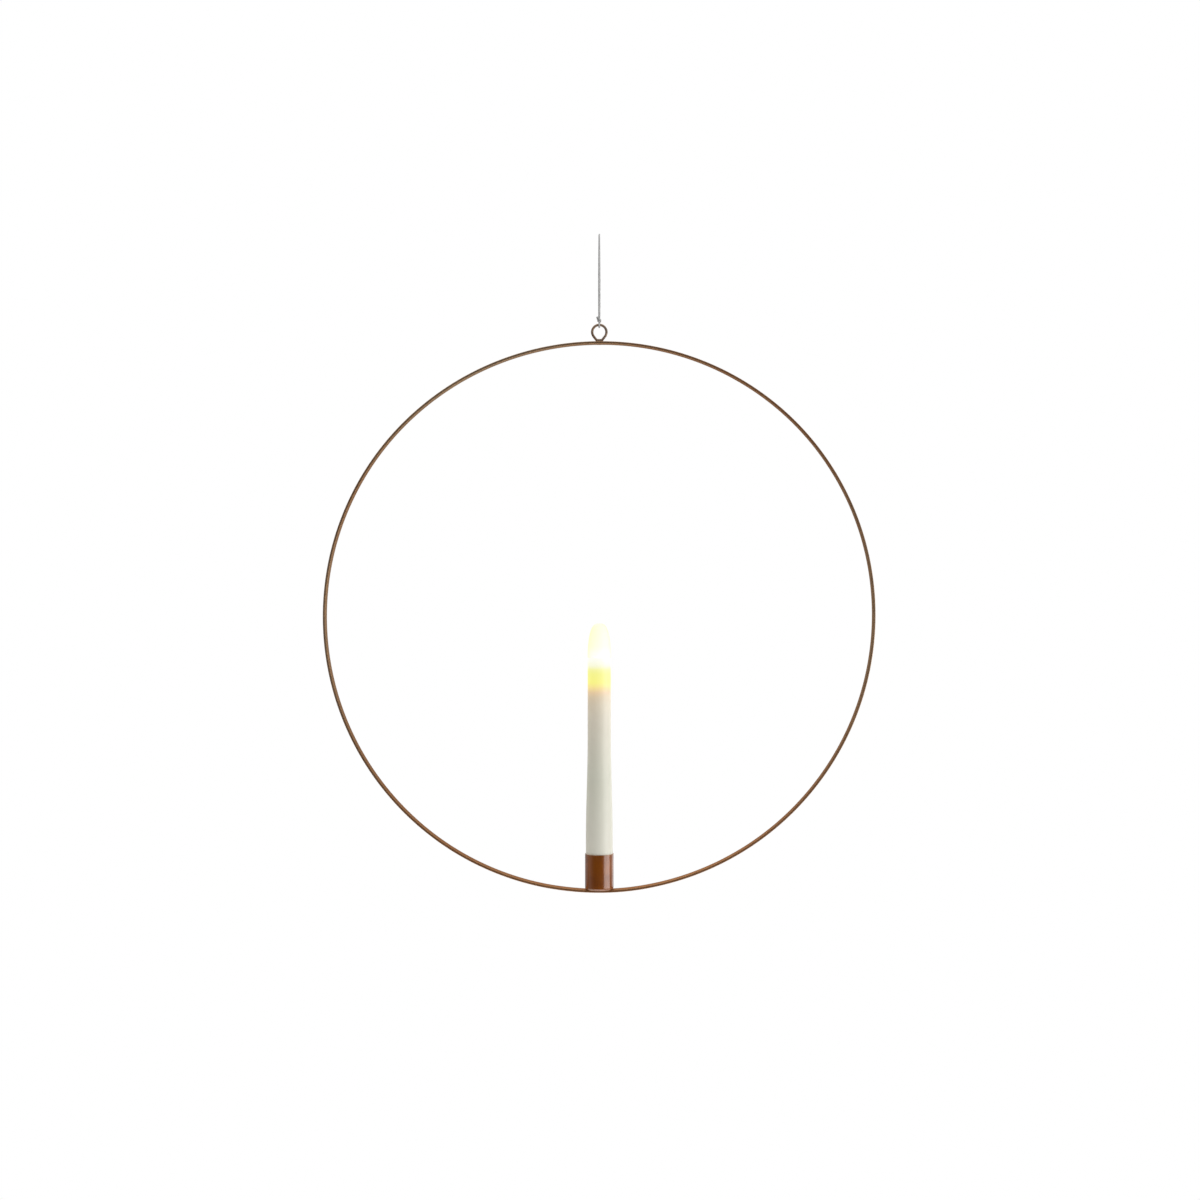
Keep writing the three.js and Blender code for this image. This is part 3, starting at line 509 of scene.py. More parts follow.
def cordMaterial(values):
    # Cotton: fine fibres along each ply, with painted shade in the grooves between plies
    material, tree, principled = newMaterial(
        "cordCotton",
        **{"Roughness": 0.85, "Sheen Weight": 0.5, "Sheen Roughness": 0.5, "Specular IOR Level": 0.25},
    )
    link = tree.links.new
    turn = addNode(tree, "ShaderNodeMapping", -800, 0, {"Rotation": (0, 0, np.radians(values["fibreTurn"]))})
    fibres = useGroup(tree, "grain", -550, 0, Stretch=(9, 1, 1), Scale=9.0, Detail=5.0, Contrast=1.6)
    tint = useGroup(tree, "mottle", -550, 300, Main=values["main"], Second=values["shade"],
                    Scale=260.0, Amount=0.5)
    groove = addNode(tree, "ShaderNodeAttribute", -550, -300, attribute_name="groove")
    link(surfaceCoords(tree), turn.inputs["Vector"])
    link(turn.outputs["Vector"], fibres.inputs["Vector"])
    link(objectCoords(tree), tint.inputs["Vector"])
    shaded = mixColors(tree, values["fibreShade"], tint.outputs["Color"], fibres.outputs["Value"],
                       -200, 200, "MULTIPLY")
    # painted shade in the grooves
    depth = rampFrom(tree, groove.outputs["Fac"], 0, 1, 0, values["grooveShade"], -200, -200)
    link(mixColors(tree, depth, shaded, values["grooveColor"], 50, 200), principled.inputs["Base Color"])
    addBump(tree, fibres.outputs["Value"], principled, strength=0.6, distance=0.08 * mm)
    return material


def plySection(values):
    # Radius round a section of touching plies, as a share of the cord's radius:
    # d cos(a) + sqrt(p^2 - d^2 sin(a)^2), with a the angle to the nearest ply's middle.
    # It also gives that angle as a share of its largest, which is 1 in the grooves.
    span = fullTurn / values["plies"]
    away = (turns(values["around"]) + span / 2) % span - span / 2
    offset = values["plyOffset"]
    ply = 1 - offset
    share = offset * np.cos(away) + np.sqrt(ply ** 2 - (offset * np.sin(away)) ** 2)
    return share, np.abs(away) / (span / 2)


def cordShell(path, side, values, size=1.0, roundEnds=False):
    # The plies' section carried along a path and turned once in each lay length;
    # rounded ends draw in as sqrt(1 - (1 - s/R)^2) over their last radius R.
    radius = values["diameter"] / 2 * size
    distance = pathLength(path)
    share, away = plySection(values)
    draw = np.ones(len(path))
    if roundEnds:
        near = np.clip(np.minimum(distance, distance[-1] - distance) / radius, 0.02, 1)
        draw = np.sqrt(1 - (1 - near) ** 2)
    twist = distance / values["layLength"] * fullTurn
    grid = tubeGrid(path, side, radius * draw[:, None] * share[None, :], values["around"], twist)
    across = np.linspace(0, values["plies"], values["around"] + 1)
    made = shell(grid, across=across, along=distance / radius / 2)
    # painted shade for each point, strongest in the grooves
    made["groove"] = np.append(np.tile(away ** 3, len(path)), [0, 0])
    return made


def cordPiece(name, shells, material, body, node, shade=0.0):
    # shade adds painted shade all over the piece
    groove = np.clip(np.concatenate([s["groove"] for s in shells]) + shade, 0, 1)
    return makePiece(name, shells, material, body, [node], {"groove": groove})


def slingPath(pinRadius, drop, halfSpread, endGap, spacing):
    # Straight up one side, round a pin on the origin and straight down the other side, in the YZ plane;
    # the straights touch the pin's circle and aim at (+-halfSpread, -drop), short of it by endGap.
    reach = np.hypot(drop, halfSpread)
    leaveAngle = np.arctan2(halfSpread, -drop) - np.arccos(pinRadius / reach)
    leave = pinRadius * np.array([np.sin(leaveAngle), np.cos(leaveAngle)])
    target = np.array([halfSpread, -drop])
    end = target + unit(leave - target) * endGap
    straight = np.linalg.norm(leave - end)
    share = np.linspace(0, 1, int(straight / spacing) + 1)[:, None]
    rise = end * (1 - share) + leave * share
    angle = np.linspace(-leaveAngle, leaveAngle, int(2 * leaveAngle * pinRadius / spacing) + 2)[1:-1]
    over = pinRadius * np.stack([np.sin(angle), np.cos(angle)], axis=1)
    way = np.vstack([rise * [-1, 1], over, rise[::-1]])
    return np.insert(way, 0, 0, axis=1)


def eyeWireHeight():
    # The middle of the eye's wire at its top, which is the middle of the cord's turn round it
    low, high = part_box("eye_wrap")
    return low.z + high.y


def makeCord(values):
    material = cordMaterial(values)
    radius = values["diameter"] / 2
    spacing = values["ringStep"]
    bendRadius = values["hookDiameter"] / 2 + radius
    bendCentre = -values["hookDiameter"] / 2
    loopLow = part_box("hanging_loop")[0].z
    drop = bendCentre - loopLow
    loopPath = slingPath(bendRadius, drop, values["strandOffset"], 0, spacing) + [0, 0, bendCentre]
    down = np.clip((bendCentre - loopPath[:, 2]) / drop, 0, 1)
    turn = np.radians(values["loopTurn"]) * down
    fromMiddle = loopPath[:, 1]
    loopPath = np.stack([fromMiddle * np.sin(turn), fromMiddle * np.cos(turn), loopPath[:, 2]], axis=1)
    loopShell = cordShell(loopPath, (1, 0, 0), values)
    loop = cordPiece("cord_loop", [loopShell], material, "hanger", "hanging_loop")

    # The knot: a tight coil, both strands' necks above it, and the tail that stands off to the left
    z = values["knotHeight"]
    share = np.linspace(0, 1, values["coilSteps"])
    angle = share * values["coilTurns"] * fullTurn + np.radians(values["coilStart"])
    coilSide = np.stack([np.cos(angle), np.sin(angle), 0 * angle], axis=1)
    coilPath = values["coilRadius"] * coilSide
    coilPath[:, 2] = z + values["coilTop"] * (1 - share) + values["coilFoot"] * share
    neckX = values["strandOffset"] * np.sin(turn.max())
    neckY = values["strandOffset"] * np.cos(turn.max())
    neck = np.array([
        (0, 0.25 * mm, z - 0.3 * mm), (0, 0.3 * mm, z + 1.2 * mm), (0.8 * neckX, 0.62 * mm, z + 2.9 * mm),
        (neckX, neckY, loopLow), (neckX, neckY, loopLow + values["neckNest"]),
    ])
    necks = [smoothPath(neck * [side, side, 1], spacing) for side in (-1, 1)]
    tailPath = smoothPath(np.array(values["tailPoints"]) * mm + [0, 0, z], spacing)
    shells = [cordShell(coilPath, coilSide, values, values["coilSize"], True)]
    shells += [cordShell(path, (1, 0, 0), values, values["neckSize"], True) for path in necks]
    shells += [cordShell(tailPath, (0, 1, 0), values, values["tailSize"], True)]
    knot = cordPiece("cord_knot_tied", shells, material, "knot", "cord_knot", values["knotPaintedShade"])

    # One turn round the eye's wire, both ends going up into the knot
    wireZ = eyeWireHeight()
    wrapRadius = eyeValues["wireDiameter"] / 2 + values["wrapGap"] + radius * values["wrapSize"]
    wrapPath = slingPath(wrapRadius, z - wireZ, values["wrapSpread"], values["wrapEndGap"],
                         spacing * values["wrapStep"])
    wrapPath = wrapPath * [1, -1, -1] + [0, 0, wireZ]
    wrapShell = cordShell(wrapPath, (1, 0, 0), values, values["wrapSize"])
    wrap = cordPiece("cord_wrap", [wrapShell], material, "wrap", "eye_wrap")


# The eye's sizes; the cord's turn needs its wire
eyeValues = {
    "wireDiameter": 2.05 * mm,
    "outerDiameter": 13.7 * mm,
    "footSpread": 1.15 * mm,  # from the middle to each leg's foot
    "footSink": 0.4 * mm,  # by which the legs reach into the hoop
    "ringStep": 0.25 * mm,
    "around": 28,
    "weldHalfLength": 3 * mm,
    "weldHalfWidth": 1.15 * mm,
    "weldHeight": 0.8 * mm,
    "weldSink": 0.15 * mm,
    "weldRings": 18,
    "weldAround": 48,
    "webHeight": 2.5 * mm,  # the weld that fills the crotch between the legs
    "webDip": 0.4 * mm,
    "wear": 0.35,
}

makeCord(cordValues)


# Hoop of flat strip

hoopValues = {
    "thickness": 2 * mm,
    "edgeRadius": 0.35 * mm,
    "crown": 0.05 * mm,  # how far the wide faces fall off at their edges
    "stepsRound": 720,
    "cornerSteps": 4,
    "faceSteps": 6,
    "edgeSteps": 3,
    # bent by hand, so a little out of round: how often, how much, and where it is widest,
    # in degrees from the top
    "bends": [(1, 0.25 * mm, 180), (2, 0.52 * mm, 58), (3, 0.24 * mm, 58), (4, 0.13 * mm, 40)],
    # painted light: where it is strongest, in degrees from the top, how far that reaches, and how pale it
    # makes the strip
    "paintedLightPlace": -27,
    "paintedLightReach": 34,
    "paintedLightAmount": 0.75,
    "sidePaintedLight": 0.6,  # painted light at both sides
    "bendAllowance": 0.14 * mm,  # taken off all round, so that it stays within its circle at the sides
    "cupReach": 9,  # degrees each way from the bottom, where the cup keeps it round
    "waviness": 0.08 * mm,
    "sway": 0.15 * mm,  # sideways waviness of the bent strip
    "weldRidge": 0.12 * mm,  # on the inside at the top, where the strip's ends meet
    "weldHalfWidth": 1.3 * mm,
    "uvUnit": 10 * mm,  # what one unit of its UV map measures
}


def stripSection(width, values):
    # A rounded rectangle in (depth, radial) with crowned wide faces, and a mask that is 1 on its corners
    x = width / 2
    y = values["thickness"] / 2
    r = values["edgeRadius"]
    corners = [(x - r, y - r, 0), (-x + r, y - r, 90), (-x + r, -y + r, 180), (x - r, -y + r, 270)]
    arcs = [arcPoints(cx, cy, r, start, start + 90, values["cornerSteps"]) for cx, cy, start in corners]
    points = []
    edge = []
    for i, arc in enumerate(arcs):
        steps = values["faceSteps"] if i % 2 == 0 else values["edgeSteps"]
        flat = linePoints(arc[-1], arcs[(i + 1) % 4][0], steps)
        points += [arc, flat]
        edge += [np.ones(len(arc)), np.zeros(len(flat))]
    section = np.vstack(points)
    section[:, 1] -= np.sign(section[:, 1]) * values["crown"] * (section[:, 0] / x) ** 2
    return section, np.concatenate(edge)


def bentRadius(values, angle):
    # What is added to the radius: sum of size * cos(count * (a - place)) - allowance, faded out at the cup
    added = sum(size * np.cos(count * (angle - np.radians(place))) for count, size, place in values["bends"])
    atCup = np.exp(-((angle - np.pi) / np.radians(values["cupReach"])) ** 4)
    return (added - values["bendAllowance"]) * (1 - atCup)


def makeHoop(values):
    low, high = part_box("hoop")
    outer = (high.x - low.x) / 2
    centreZ = (high.z + low.z) / 2
    middle = outer - values["thickness"] / 2
    section, edge = stripSection(high.y - low.y, values)
    # A point is centre + (middle + radial + bend(a) + wave(a)) * (sin a, 0, cos a) + (depth + sway(a)) * Y,
    # with the weld's ridge added on the inside; both waves vanish at the top, the bottom and the sides.
    angle = turns(values["stepsRound"])[:, None]
    still = np.sin(2 * angle) ** 2
    wave = -values["waviness"] * still * (0.5 + 0.3 * np.sin(3 * angle + 0.7) + 0.2 * np.sin(11 * angle + 2))
    sway = values["sway"] * still * (0.6 * np.sin(2 * angle + 1.1) + 0.4 * np.sin(7 * angle))
    fromTop = np.minimum(angle, fullTurn - angle) * middle
    ridge = values["weldRidge"] * np.exp(-(fromTop / values["weldHalfWidth"]) ** 2)
    inner = section[None, :, 1] < 0
    radial = middle + section[None, :, 1] + bentRadius(values, angle) + wave - ridge * inner
    depth = section[None, :, 0] + sway
    grid = np.stack([radial * np.sin(angle), depth, centreZ + radial * np.cos(angle)], axis=-1)
    sectionLength = pathLength(np.vstack([section, section[:1]]))
    along = np.linspace(0, fullTurn * outer, values["stepsRound"] + 1)
    unitLength = values["uvUnit"]
    surface = shell(grid, closed=True, across=sectionLength / unitLength, along=along / unitLength)
    # Painted light: the strip is paler at the upper left and at both sides
    fromPaintedLightPeak = np.remainder(np.degrees(angle) - values["paintedLightPlace"] + 180, 360) - 180
    paintedLightPeak = values["paintedLightAmount"] * np.exp(-(fromPaintedLightPeak / values["paintedLightReach"]) ** 2)
    paintedLight = np.maximum(paintedLightPeak, values["sidePaintedLight"] * np.sin(angle) ** 8)
    makePiece("hoop_strip", surface, platedMetal("hoopBronze", hoopFinish), "ring", ["hoop"],
              {"edge": edge, "paintedLight": np.repeat(paintedLight, len(section))})
    print("hoop made")
    return {
        "inner": outer - values["thickness"],
        "centreZ": centreZ,
        "topRadius": outer + bentRadius(values, 0),
    }


hoopPlace = makeHoop(hoopValues)


# Wire eye and its weld

def makeEye(values):
    wireRadius = values["wireDiameter"] / 2
    eyeRadius = values["outerDiameter"] / 2 - wireRadius
    centreZ = eyeWireHeight() - eyeRadius
    footZ = hoopPlace["centreZ"] + hoopPlace["topRadius"]
    # The cord's sling path turned into the XZ plane: a leg, the ring and a leg
    path = slingPath(eyeRadius, centreZ - footZ, values["footSpread"], -values["footSink"],
                     values["ringStep"])
    path = path[:, [1, 0, 2]] + [0, 0, centreZ]
    wire = shell(tubeGrid(path, (0, 1, 0), wireRadius, values["around"]))

    # The weld: a low mound whose flanks rise as (1 - v)^2.2 from its foot to the crotch of the legs,
    # with ripples round it
    v = np.linspace(0, 1, values["weldRings"])[:, None]
    a = turns(values["weldAround"])[None, :]
    half = wireRadius + (values["weldHalfLength"] - wireRadius) * (1 - v) ** 2.2
    thick = values["weldHalfWidth"] * (1 - 0.2 * v)
    ripple = 1 + 0.045 * np.sin(5 * a + 3 * v) + 0.03 * np.sin(9 * a - 6 * v)
    sink = values["weldSink"]
    height = footZ - sink + v * (values["weldHeight"] + sink) * (1 + 0.04 * np.sin(3 * a))
    top = np.sqrt(np.clip(1 - v ** 6, 0.02, 1))
    bead = np.stack([half * np.cos(a) * ripple * top, thick * np.sin(a) * ripple * top, height], axis=-1)

    # The crotch's fill: at height h its half length is spread + 0.9 h, it thins out upwards,
    # and its top dips in the middle as 1 - (x / half)^2
    h = v * values["webHeight"]
    length = (values["footSpread"] + 0.9 * h) * np.cos(a)
    width = wireRadius * (0.95 - 0.4 * v ** 2) * np.sin(a)
    dip = values["webDip"] * v ** 4 * (1 - np.cos(a) ** 2)
    web = shell(np.stack([length, width, footZ + h - dip], axis=-1))
    makePiece("wire_eye", [wire, shell(bead), web], platedMetal("eyeBronze", eyeFinish), "ring",
              ["hanging_eye"], {"edge": values["wear"]})
    print("eye made")


makeEye(eyeValues)


# Drawn cup, brazed to the strip

cupValues = {
    "wall": 0.4 * mm,
    "floor": 0.8 * mm,
    "bottomRadius": 2 * mm,
    "around": 160,
    "outOfRound": 0.03 * mm,
    "rimWear": 0.8 * mm,  # how far the wear reaches down from the rim, and round the foot's bend
    "footWear": 0.7 * mm,
    "seamRadius": 0.45 * mm,
    "seamRings": 60,
    "seamAround": 12,
    "seamWear": 0.5,
}


def makeCup(values):
    low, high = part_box("candle_cup")
    outer = high.x
    wall = values["wall"]
    inner = outer - wall
    bottom = values["bottomRadius"]
    innerBend = bottom - wall
    lip = wall / 2
    height = high.z - low.z
    profile = np.vstack([
        linePoints((0, 0), (outer - bottom, 0), 8),
        arcPoints(outer - bottom, bottom, bottom, -90, 0, 10),
        linePoints((outer, bottom), (outer, height - lip), 30),
        arcPoints(outer - lip, height - lip, lip, 0, 180, 8),
        linePoints((inner, height - lip), (inner, values["floor"] + innerBend), 20),
        arcPoints(inner - innerBend, values["floor"] + innerBend, innerBend, 0, -90, 8),
        linePoints((inner - innerBend, values["floor"]), (0, values["floor"]), 8),
    ])

    def bend(angle, z):
        # Drawn sheet is never quite round or straight: towards the rim, r falls by a share of the
        # allowed value that changes with sin(2a) and in faint rings
        share = z / height
        change = 0.5 + 0.3 * np.sin(2 * angle + 0.6) + 0.2 * np.sin(26 * share)
        return -values["outOfRound"] * change * share

    grid = turned(profile, values["around"], bend) + [0, 0, low.z]
    surface = shell(grid)
    rim = np.clip(1 - (height - profile[:, 1]) / values["rimWear"], 0, 1)
    foot = np.exp(-((profile[:, 1] - bottom * 0.3) / values["footWear"]) ** 2)
    foot = foot * (profile[:, 0] > outer - bottom)
    edge = np.append(np.repeat(np.maximum(rim, foot * 0.8), values["around"]), [0, 0])
    makePiece("drawn_cup", surface, platedMetal("cupBronze", cupFinish), "ring", ["candle_cup"],
              {"edge": edge})

    # Braze fillets along both edges of the strip, under the cup's flat
    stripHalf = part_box("hoop")[1].y
    reach = np.sqrt((outer - bottom) ** 2 - stripHalf ** 2)
    x = np.linspace(-reach, reach, values["seamRings"])
    stripTop = hoopPlace["centreZ"] - np.sqrt(hoopPlace["inner"] ** 2 - x ** 2)
    taper = np.sqrt(np.clip(1 - (x / reach) ** 8, 0.03, 1))
    seams = []
    for side in (-1, 1):
        path = np.stack([x, np.full_like(x, side * stripHalf), (stripTop + low.z) / 2], axis=1)
        radius = values["seamRadius"] * taper * (1 + 0.12 * np.sin(x * 2900 + side) + 0.08 * np.sin(x * 5300))
        seams.append(shell(tubeGrid(path, (0, 1, 0), radius[:, None], values["seamAround"])))
    makePiece("braze_seam", seams, platedMetal("brazeBronze", brazeFinish), "ring", (),
              {"edge": values["seamWear"]})
    print("cup made")


makeCup(cupValues)


# Candle: ivory shell and glowing tip

candleValues = {
    "baseRadius": 11 * mm,
    "topRadius": 9.5 * mm,
    "taperStart": 38 * mm,  # heights above the candle's foot between which it narrows
    "taperEnd": 126 * mm,
    "wall": 1.4 * mm,
    "edge": 0.25 * mm,
    "around": 144,
    "outsideRings": 90,
    "insideRings": 40,
    "unevenness": 0.05 * mm,
    "ivory": (0.86, 0.855, 0.755, 1),
    "ivoryShade": (0.82, 0.815, 0.715, 1),
}
tipValues = {
    "wall": 1.2 * mm,
    "skirtGap": 0.3 * mm,  # between the skirt and the shell's inside
    "seamGap": 0.05 * mm,  # above the shell's top, and the step in at the seam
    "seamStep": 0.15 * mm,
    "sideFullness": 3.0,  # powers of the dome's outline: the higher, the fuller
    "crownFullness": 2.2,
    "rings": 56,
    "around": 128,
    "lights": [(0, (1.0, 1.0, 0.92)), (4 * mm, (0.85, 0.85, 0.84)), (9 * mm, (0.72, 0.72, 0.67))],
    "crownLight": (0.66, 0.66, 0.6),  # at its top; the others stand with their heights above the seam
}
# The lamp's glow through the wall, as distances down from the tip's foot:
# how much of the wall's own colour stays, and the light that comes through.
# The faint, nearly even emission of about 0.1 from some 70 mm down to the foot is painted light in place of
# fill light, not the lamp's glow.
glowSteps = [
    (2 * mm, (0.35, 0.35, 0.5), (0.86, 0.86, 0.72)),
    (6.5 * mm, (0.35, 0.35, 0.5), (0.82, 0.82, 0.54)),
    (9.5 * mm, (0.35, 0.35, 0.5), (0.8, 0.79, 0.22)),
    (13 * mm, (0.35, 0.35, 0.5), (0.78, 0.77, 0.11)),
    (20 * mm, (0.35, 0.35, 0.5), (0.82, 0.78, 0.09)),
    (24 * mm, (0.4, 0.4, 0.55), (0.78, 0.6, 0.13)),
    (28 * mm, (0.65, 0.65, 0.75), (0.53, 0.34, 0.11)),
    (32 * mm, (0.9, 0.9, 0.92), (0.31, 0.2, 0.08)),
    (38 * mm, (1, 1, 1), (0.215, 0.145, 0.07)),
    (50 * mm, (1, 1, 1), (0.165, 0.125, 0.08)),
    (70 * mm, (1, 1, 0.97), (0.12, 0.1, 0.075)),
    (95 * mm, (0.99, 0.99, 0.97), (0.09, 0.09, 0.065)),
    (150 * mm, (1, 1, 1), (0.1, 0.09, 0.07)),
]


def candleRadius(height, values):
    # Straight, then 3t^2 - 2t^3 of the way to the top radius, then straight
    share = np.clip((height - values["taperStart"]) / (values["taperEnd"] - values["taperStart"]), 0, 1)
    eased = share * share * (3 - 2 * share)
    return values["baseRadius"] + (values["topRadius"] - values["baseRadius"]) * eased


def glowStops(tree, height, stops, x, y):
    # A colour ramp over the object's height, from the lowest stop to the highest
    low = stops[0][0]
    high = stops[-1][0]
    share = rampFrom(tree, height, low, high, 0, 1, x, y)
    ramp = addNode(tree, "ShaderNodeValToRGB", x + 200, y)
    elements = ramp.color_ramp.elements
    while len(elements) < len(stops):
        elements.new(0.5)
    # All places come before the colours, because a new place can change the elements' order
    for element, (place, color) in zip(elements, stops):
        element.position = (place - low) / (high - low)
    for element, (place, color) in zip(elements, stops):
        element.color = (*color, 1)
    tree.links.new(share, ramp.inputs["Fac"])
    return ramp.outputs["Color"]


def candleMaterial(seamZ, values, glow):
    # Ivory plastic with faint upright streaks; towards its seam with the tip, the lamp shines through it, and
    # lower down a faint even emission is painted light in place of fill light
    material, tree, principled = newMaterial(
        "candleIvory", **{"Roughness": 0.38, "Specular IOR Level": 0.5, "Emission Strength": 1.0})
    coords = objectCoords(tree)
    tint, streaks = cloudsAndGrain(
        tree, coords,
        {"Main": values["ivory"], "Second": values["ivoryShade"], "Scale": 55.0, "Amount": 0.6},
        {"Stretch": (1, 1, 0.06), "Scale": 300.0, "Detail": 3.0, "Contrast": 0.8},
    )
    height = heightOf(tree, coords)
    upward = glow[::-1]
    own = glowStops(tree, height, [(seamZ - down, keep) for down, keep, light in upward], -700, -300)
    # the lamp's glow near the tip, and further down a faint painted light in place of fill light
    through = glowStops(tree, height, [(seamZ - down, light) for down, keep, light in upward], -700, -600)
    toned = mixColors(tree, 1.0, tint, own, -250, 250, "MULTIPLY")
    tree.links.new(toned, principled.inputs["Base Color"])
    tree.links.new(through, principled.inputs["Emission Color"])
    addBump(tree, streaks, principled, strength=0.12, distance=0.1 * mm)
    return material


def tipMaterial(lowZ, highZ, values):
    # Frosted plastic: its clear outer layer takes out blue, the more the more slantwise it is seen
    material, tree, principled = newMaterial(
        "glowingTip",
        **{"Roughness": 0.4, "Specular IOR Level": 0.35, "Emission Strength": 1.0, "Coat Weight": 1.0,
           "Coat IOR": 1.08, "Coat Roughness": 0.3, "Coat Tint": (1.0, 1.0, 0.78, 1)},
    )
    coords = objectCoords(tree)
    tint, frost = cloudsAndGrain(
        tree, coords,
        {"Main": (0.9, 0.9, 0.84, 1), "Second": (0.86, 0.86, 0.78, 1), "Scale": 90.0, "Amount": 0.5},
        {"Stretch": (1, 1, 1), "Scale": 1500.0, "Detail": 2.0, "Contrast": 1.0},
    )
    stops = [(lowZ + up, light) for up, light in values["lights"]] + [(highZ, values["crownLight"])]
    light = glowStops(tree, heightOf(tree, coords), stops, -700, -300)
    tree.links.new(tint, principled.inputs["Base Color"])
    tree.links.new(light, principled.inputs["Emission Color"])
    addBump(tree, frost, principled, strength=0.1, distance=0.05 * mm)
    return material


def makeCandle(values, tip, glow):
    low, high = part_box("candle_shell")
    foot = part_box("base_cap")[0].z
    edge = values["edge"]
    footZ = low.z - foot
    topZ = high.z - foot
    outside = np.linspace(footZ + edge, topZ - edge, values["outsideRings"])
    inside = np.linspace(topZ - edge, footZ + edge, values["insideRings"])
    outerRadius = candleRadius(outside, values)
    innerRadius = candleRadius(inside, values) - values["wall"]
    footRadius = candleRadius(footZ, values)
    topRadius = candleRadius(topZ, values)
    profile = np.vstack([
        arcPoints(footRadius - edge, footZ + edge, edge, -90, 0, 4)[:-1],
        np.stack([outerRadius, outside], axis=1),
        arcPoints(topRadius - edge, topZ - edge, edge, 0, 90, 4)[1:],
        [(topRadius - values["wall"], topZ)],
        np.stack([innerRadius, inside], axis=1),
        [(footRadius - values["wall"], footZ)],
    ])

    def bend(angle, z):
        # The shell is a little uneven, as wax is: r falls by up to 1.5 times the unevenness, in slow waves
        slow = np.sin(2 * angle + z * 40) * np.sin(z * 55) + 0.5 * np.sin(3 * angle - z * 90)
        return -values["unevenness"] * (0.75 + 0.5 * slow)

    grid = turned(profile, values["around"], bend) + [0, 0, foot]
    makePiece("taper_shell", shell(grid, closed=True), candleMaterial(high.z, values, glow), "candle",
              ["candle_shell"])

    tipLow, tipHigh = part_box("light_tip")
    seat = high.z
    radius = tipHigh.x
    skirtOuter = topRadius - values["wall"] - tip["skirtGap"]
    skirtInner = skirtOuter - tip["wall"]

    def dome(domeRadius, domeHeight, rings):
        # (r/R)^a + (h/H)^b = 1, from the foot to just short of the crown
        rise = np.sin(np.linspace(0, 1, rings) ** 0.8 * np.pi / 2 * 0.995)
        share = np.clip(1 - rise ** tip["crownFullness"], 0, 1) ** (1 / tip["sideFullness"])
        return np.stack([domeRadius * share, domeHeight * rise], axis=1)

    domeHeight = tipHigh.z - seat
    inner = dome(skirtInner, domeHeight - tip["wall"], tip["rings"] // 2)
    outer = dome(radius, domeHeight, tip["rings"])
    tipProfile = np.vstack([
        inner[::-1], [(skirtInner, tipLow.z - seat)], [(skirtOuter, tipLow.z - seat)],
        [(skirtOuter, tip["seamGap"])], [(radius - tip["seamStep"], tip["seamGap"])], outer[1:],
    ])
    grid = turned(tipProfile, tip["around"]) + [0, 0, seat]
    makePiece("frosted_tip", shell(grid), tipMaterial(seat, tipHigh.z, tip), "candle",
              ["light_tip"])
    print("candle made")


makeCandle(candleValues, tipValues, glowSteps)


# Plain finishes of the inner pieces

plasticColors = {  # two close colours and the roughness
    "whitePlastic": ((0.79, 0.78, 0.75), (0.74, 0.73, 0.7), 0.5),
    "capPlastic": ((0.74, 0.71, 0.62), (0.69, 0.66, 0.58), 0.48),
    "darkPlastic": ((0.02, 0.02, 0.02), (0.03, 0.03, 0.03), 0.45),
    "greenBoard": ((0.03, 0.13, 0.05), (0.025, 0.1, 0.04), 0.35),
    "cellLabel": ((0.18, 0.2, 0.22), (0.15, 0.17, 0.19), 0.3),
    "redInsulation": ((0.33, 0.03, 0.02), (0.28, 0.025, 0.02), 0.4),
    "blackInsulation": ((0.015, 0.015, 0.015), (0.02, 0.02, 0.02), 0.4),
    "clearLens": ((0.95, 0.85, 0.6), (0.9, 0.8, 0.55), 0.15),
}
metalColors = {  # clean and tarnished
    "nickelSheet": ((0.62, 0.6, 0.55), (0.45, 0.43, 0.39)),
    "tinnedLead": ((0.66, 0.66, 0.65), (0.5, 0.5, 0.49)),
}
finishedNodes = {
    "whitePlastic": ["led_frame", "battery_sleeve"],
    "capPlastic": ["base_cap"],
    "darkPlastic": ["timer_chip", "switch_body", "switch_knob"],
    "greenBoard": ["circuit_board"],
    "cellLabel": ["battery_lower", "battery_upper"],
    "redInsulation": ["wire_plus"],
    "blackInsulation": ["wire_minus"],
    "clearLens": ["led_lamp"],
    "nickelSheet": ["contact_strip", "top_contact", "spring_plate", "base_spring", "cap_contact"],
    "tinnedLead": ["led_lead_plus", "led_lead_minus"],
}


def plastic(name, main, second, roughness):
    material, tree, principled = newMaterial(name, **{"Roughness": roughness, "Specular IOR Level": 0.45})
    tint, grain = cloudsAndGrain(
        tree, objectCoords(tree),
        {"Main": (*main, 1), "Second": (*second, 1), "Scale": 120.0, "Amount": 0.5},
        {"Stretch": (1, 1, 1), "Scale": 900.0, "Detail": 3.0, "Contrast": 1.0},
    )
    tree.links.new(tint, principled.inputs["Base Color"])
    addBump(tree, grain, principled, strength=0.08, distance=0.1 * mm)
    return material


def brightMetal(name, clean, tarnished):
    return platedMetal(name, {
        "shader": {"Metallic": 1.0},
        "patina": {"Clean": (*clean, 1), "Tarnished": (*tarnished, 1), "Bright": (0.9, 0.9, 0.88, 1),
                   "Scale": 150.0, "Tarnish": 0.4, "Flecks": 0.2},
        "grain": {"Stretch": (1, 1, 8), "Scale": 500.0, "Detail": 4.0, "Contrast": 1.0},
        "grainFollows": "object",
        "streaks": 0.1,
        "wear": {"Scale": 200.0, "Amount": 0.0},
        "wornColor": (0.9, 0.9, 0.9, 1),
        "paintedLightColor": (0.7, 0.7, 0.7, 1),
        "roughness": (0.22, 0.34),
        "bump": 0.15,
    })


innerFinishes = {name: plastic(name, *look) for name, look in plasticColors.items()}
innerFinishes.update({name: brightMetal(name, *look) for name, look in metalColors.items()})
for finish, names in finishedNodes.items():
    for name in names:
        nodes[name].data.materials.clear()
        nodes[name].data.materials.append(innerFinishes[finish])
print("inner pieces finished")


# Studio: pale floor far below, soft light from the right, below, above and behind

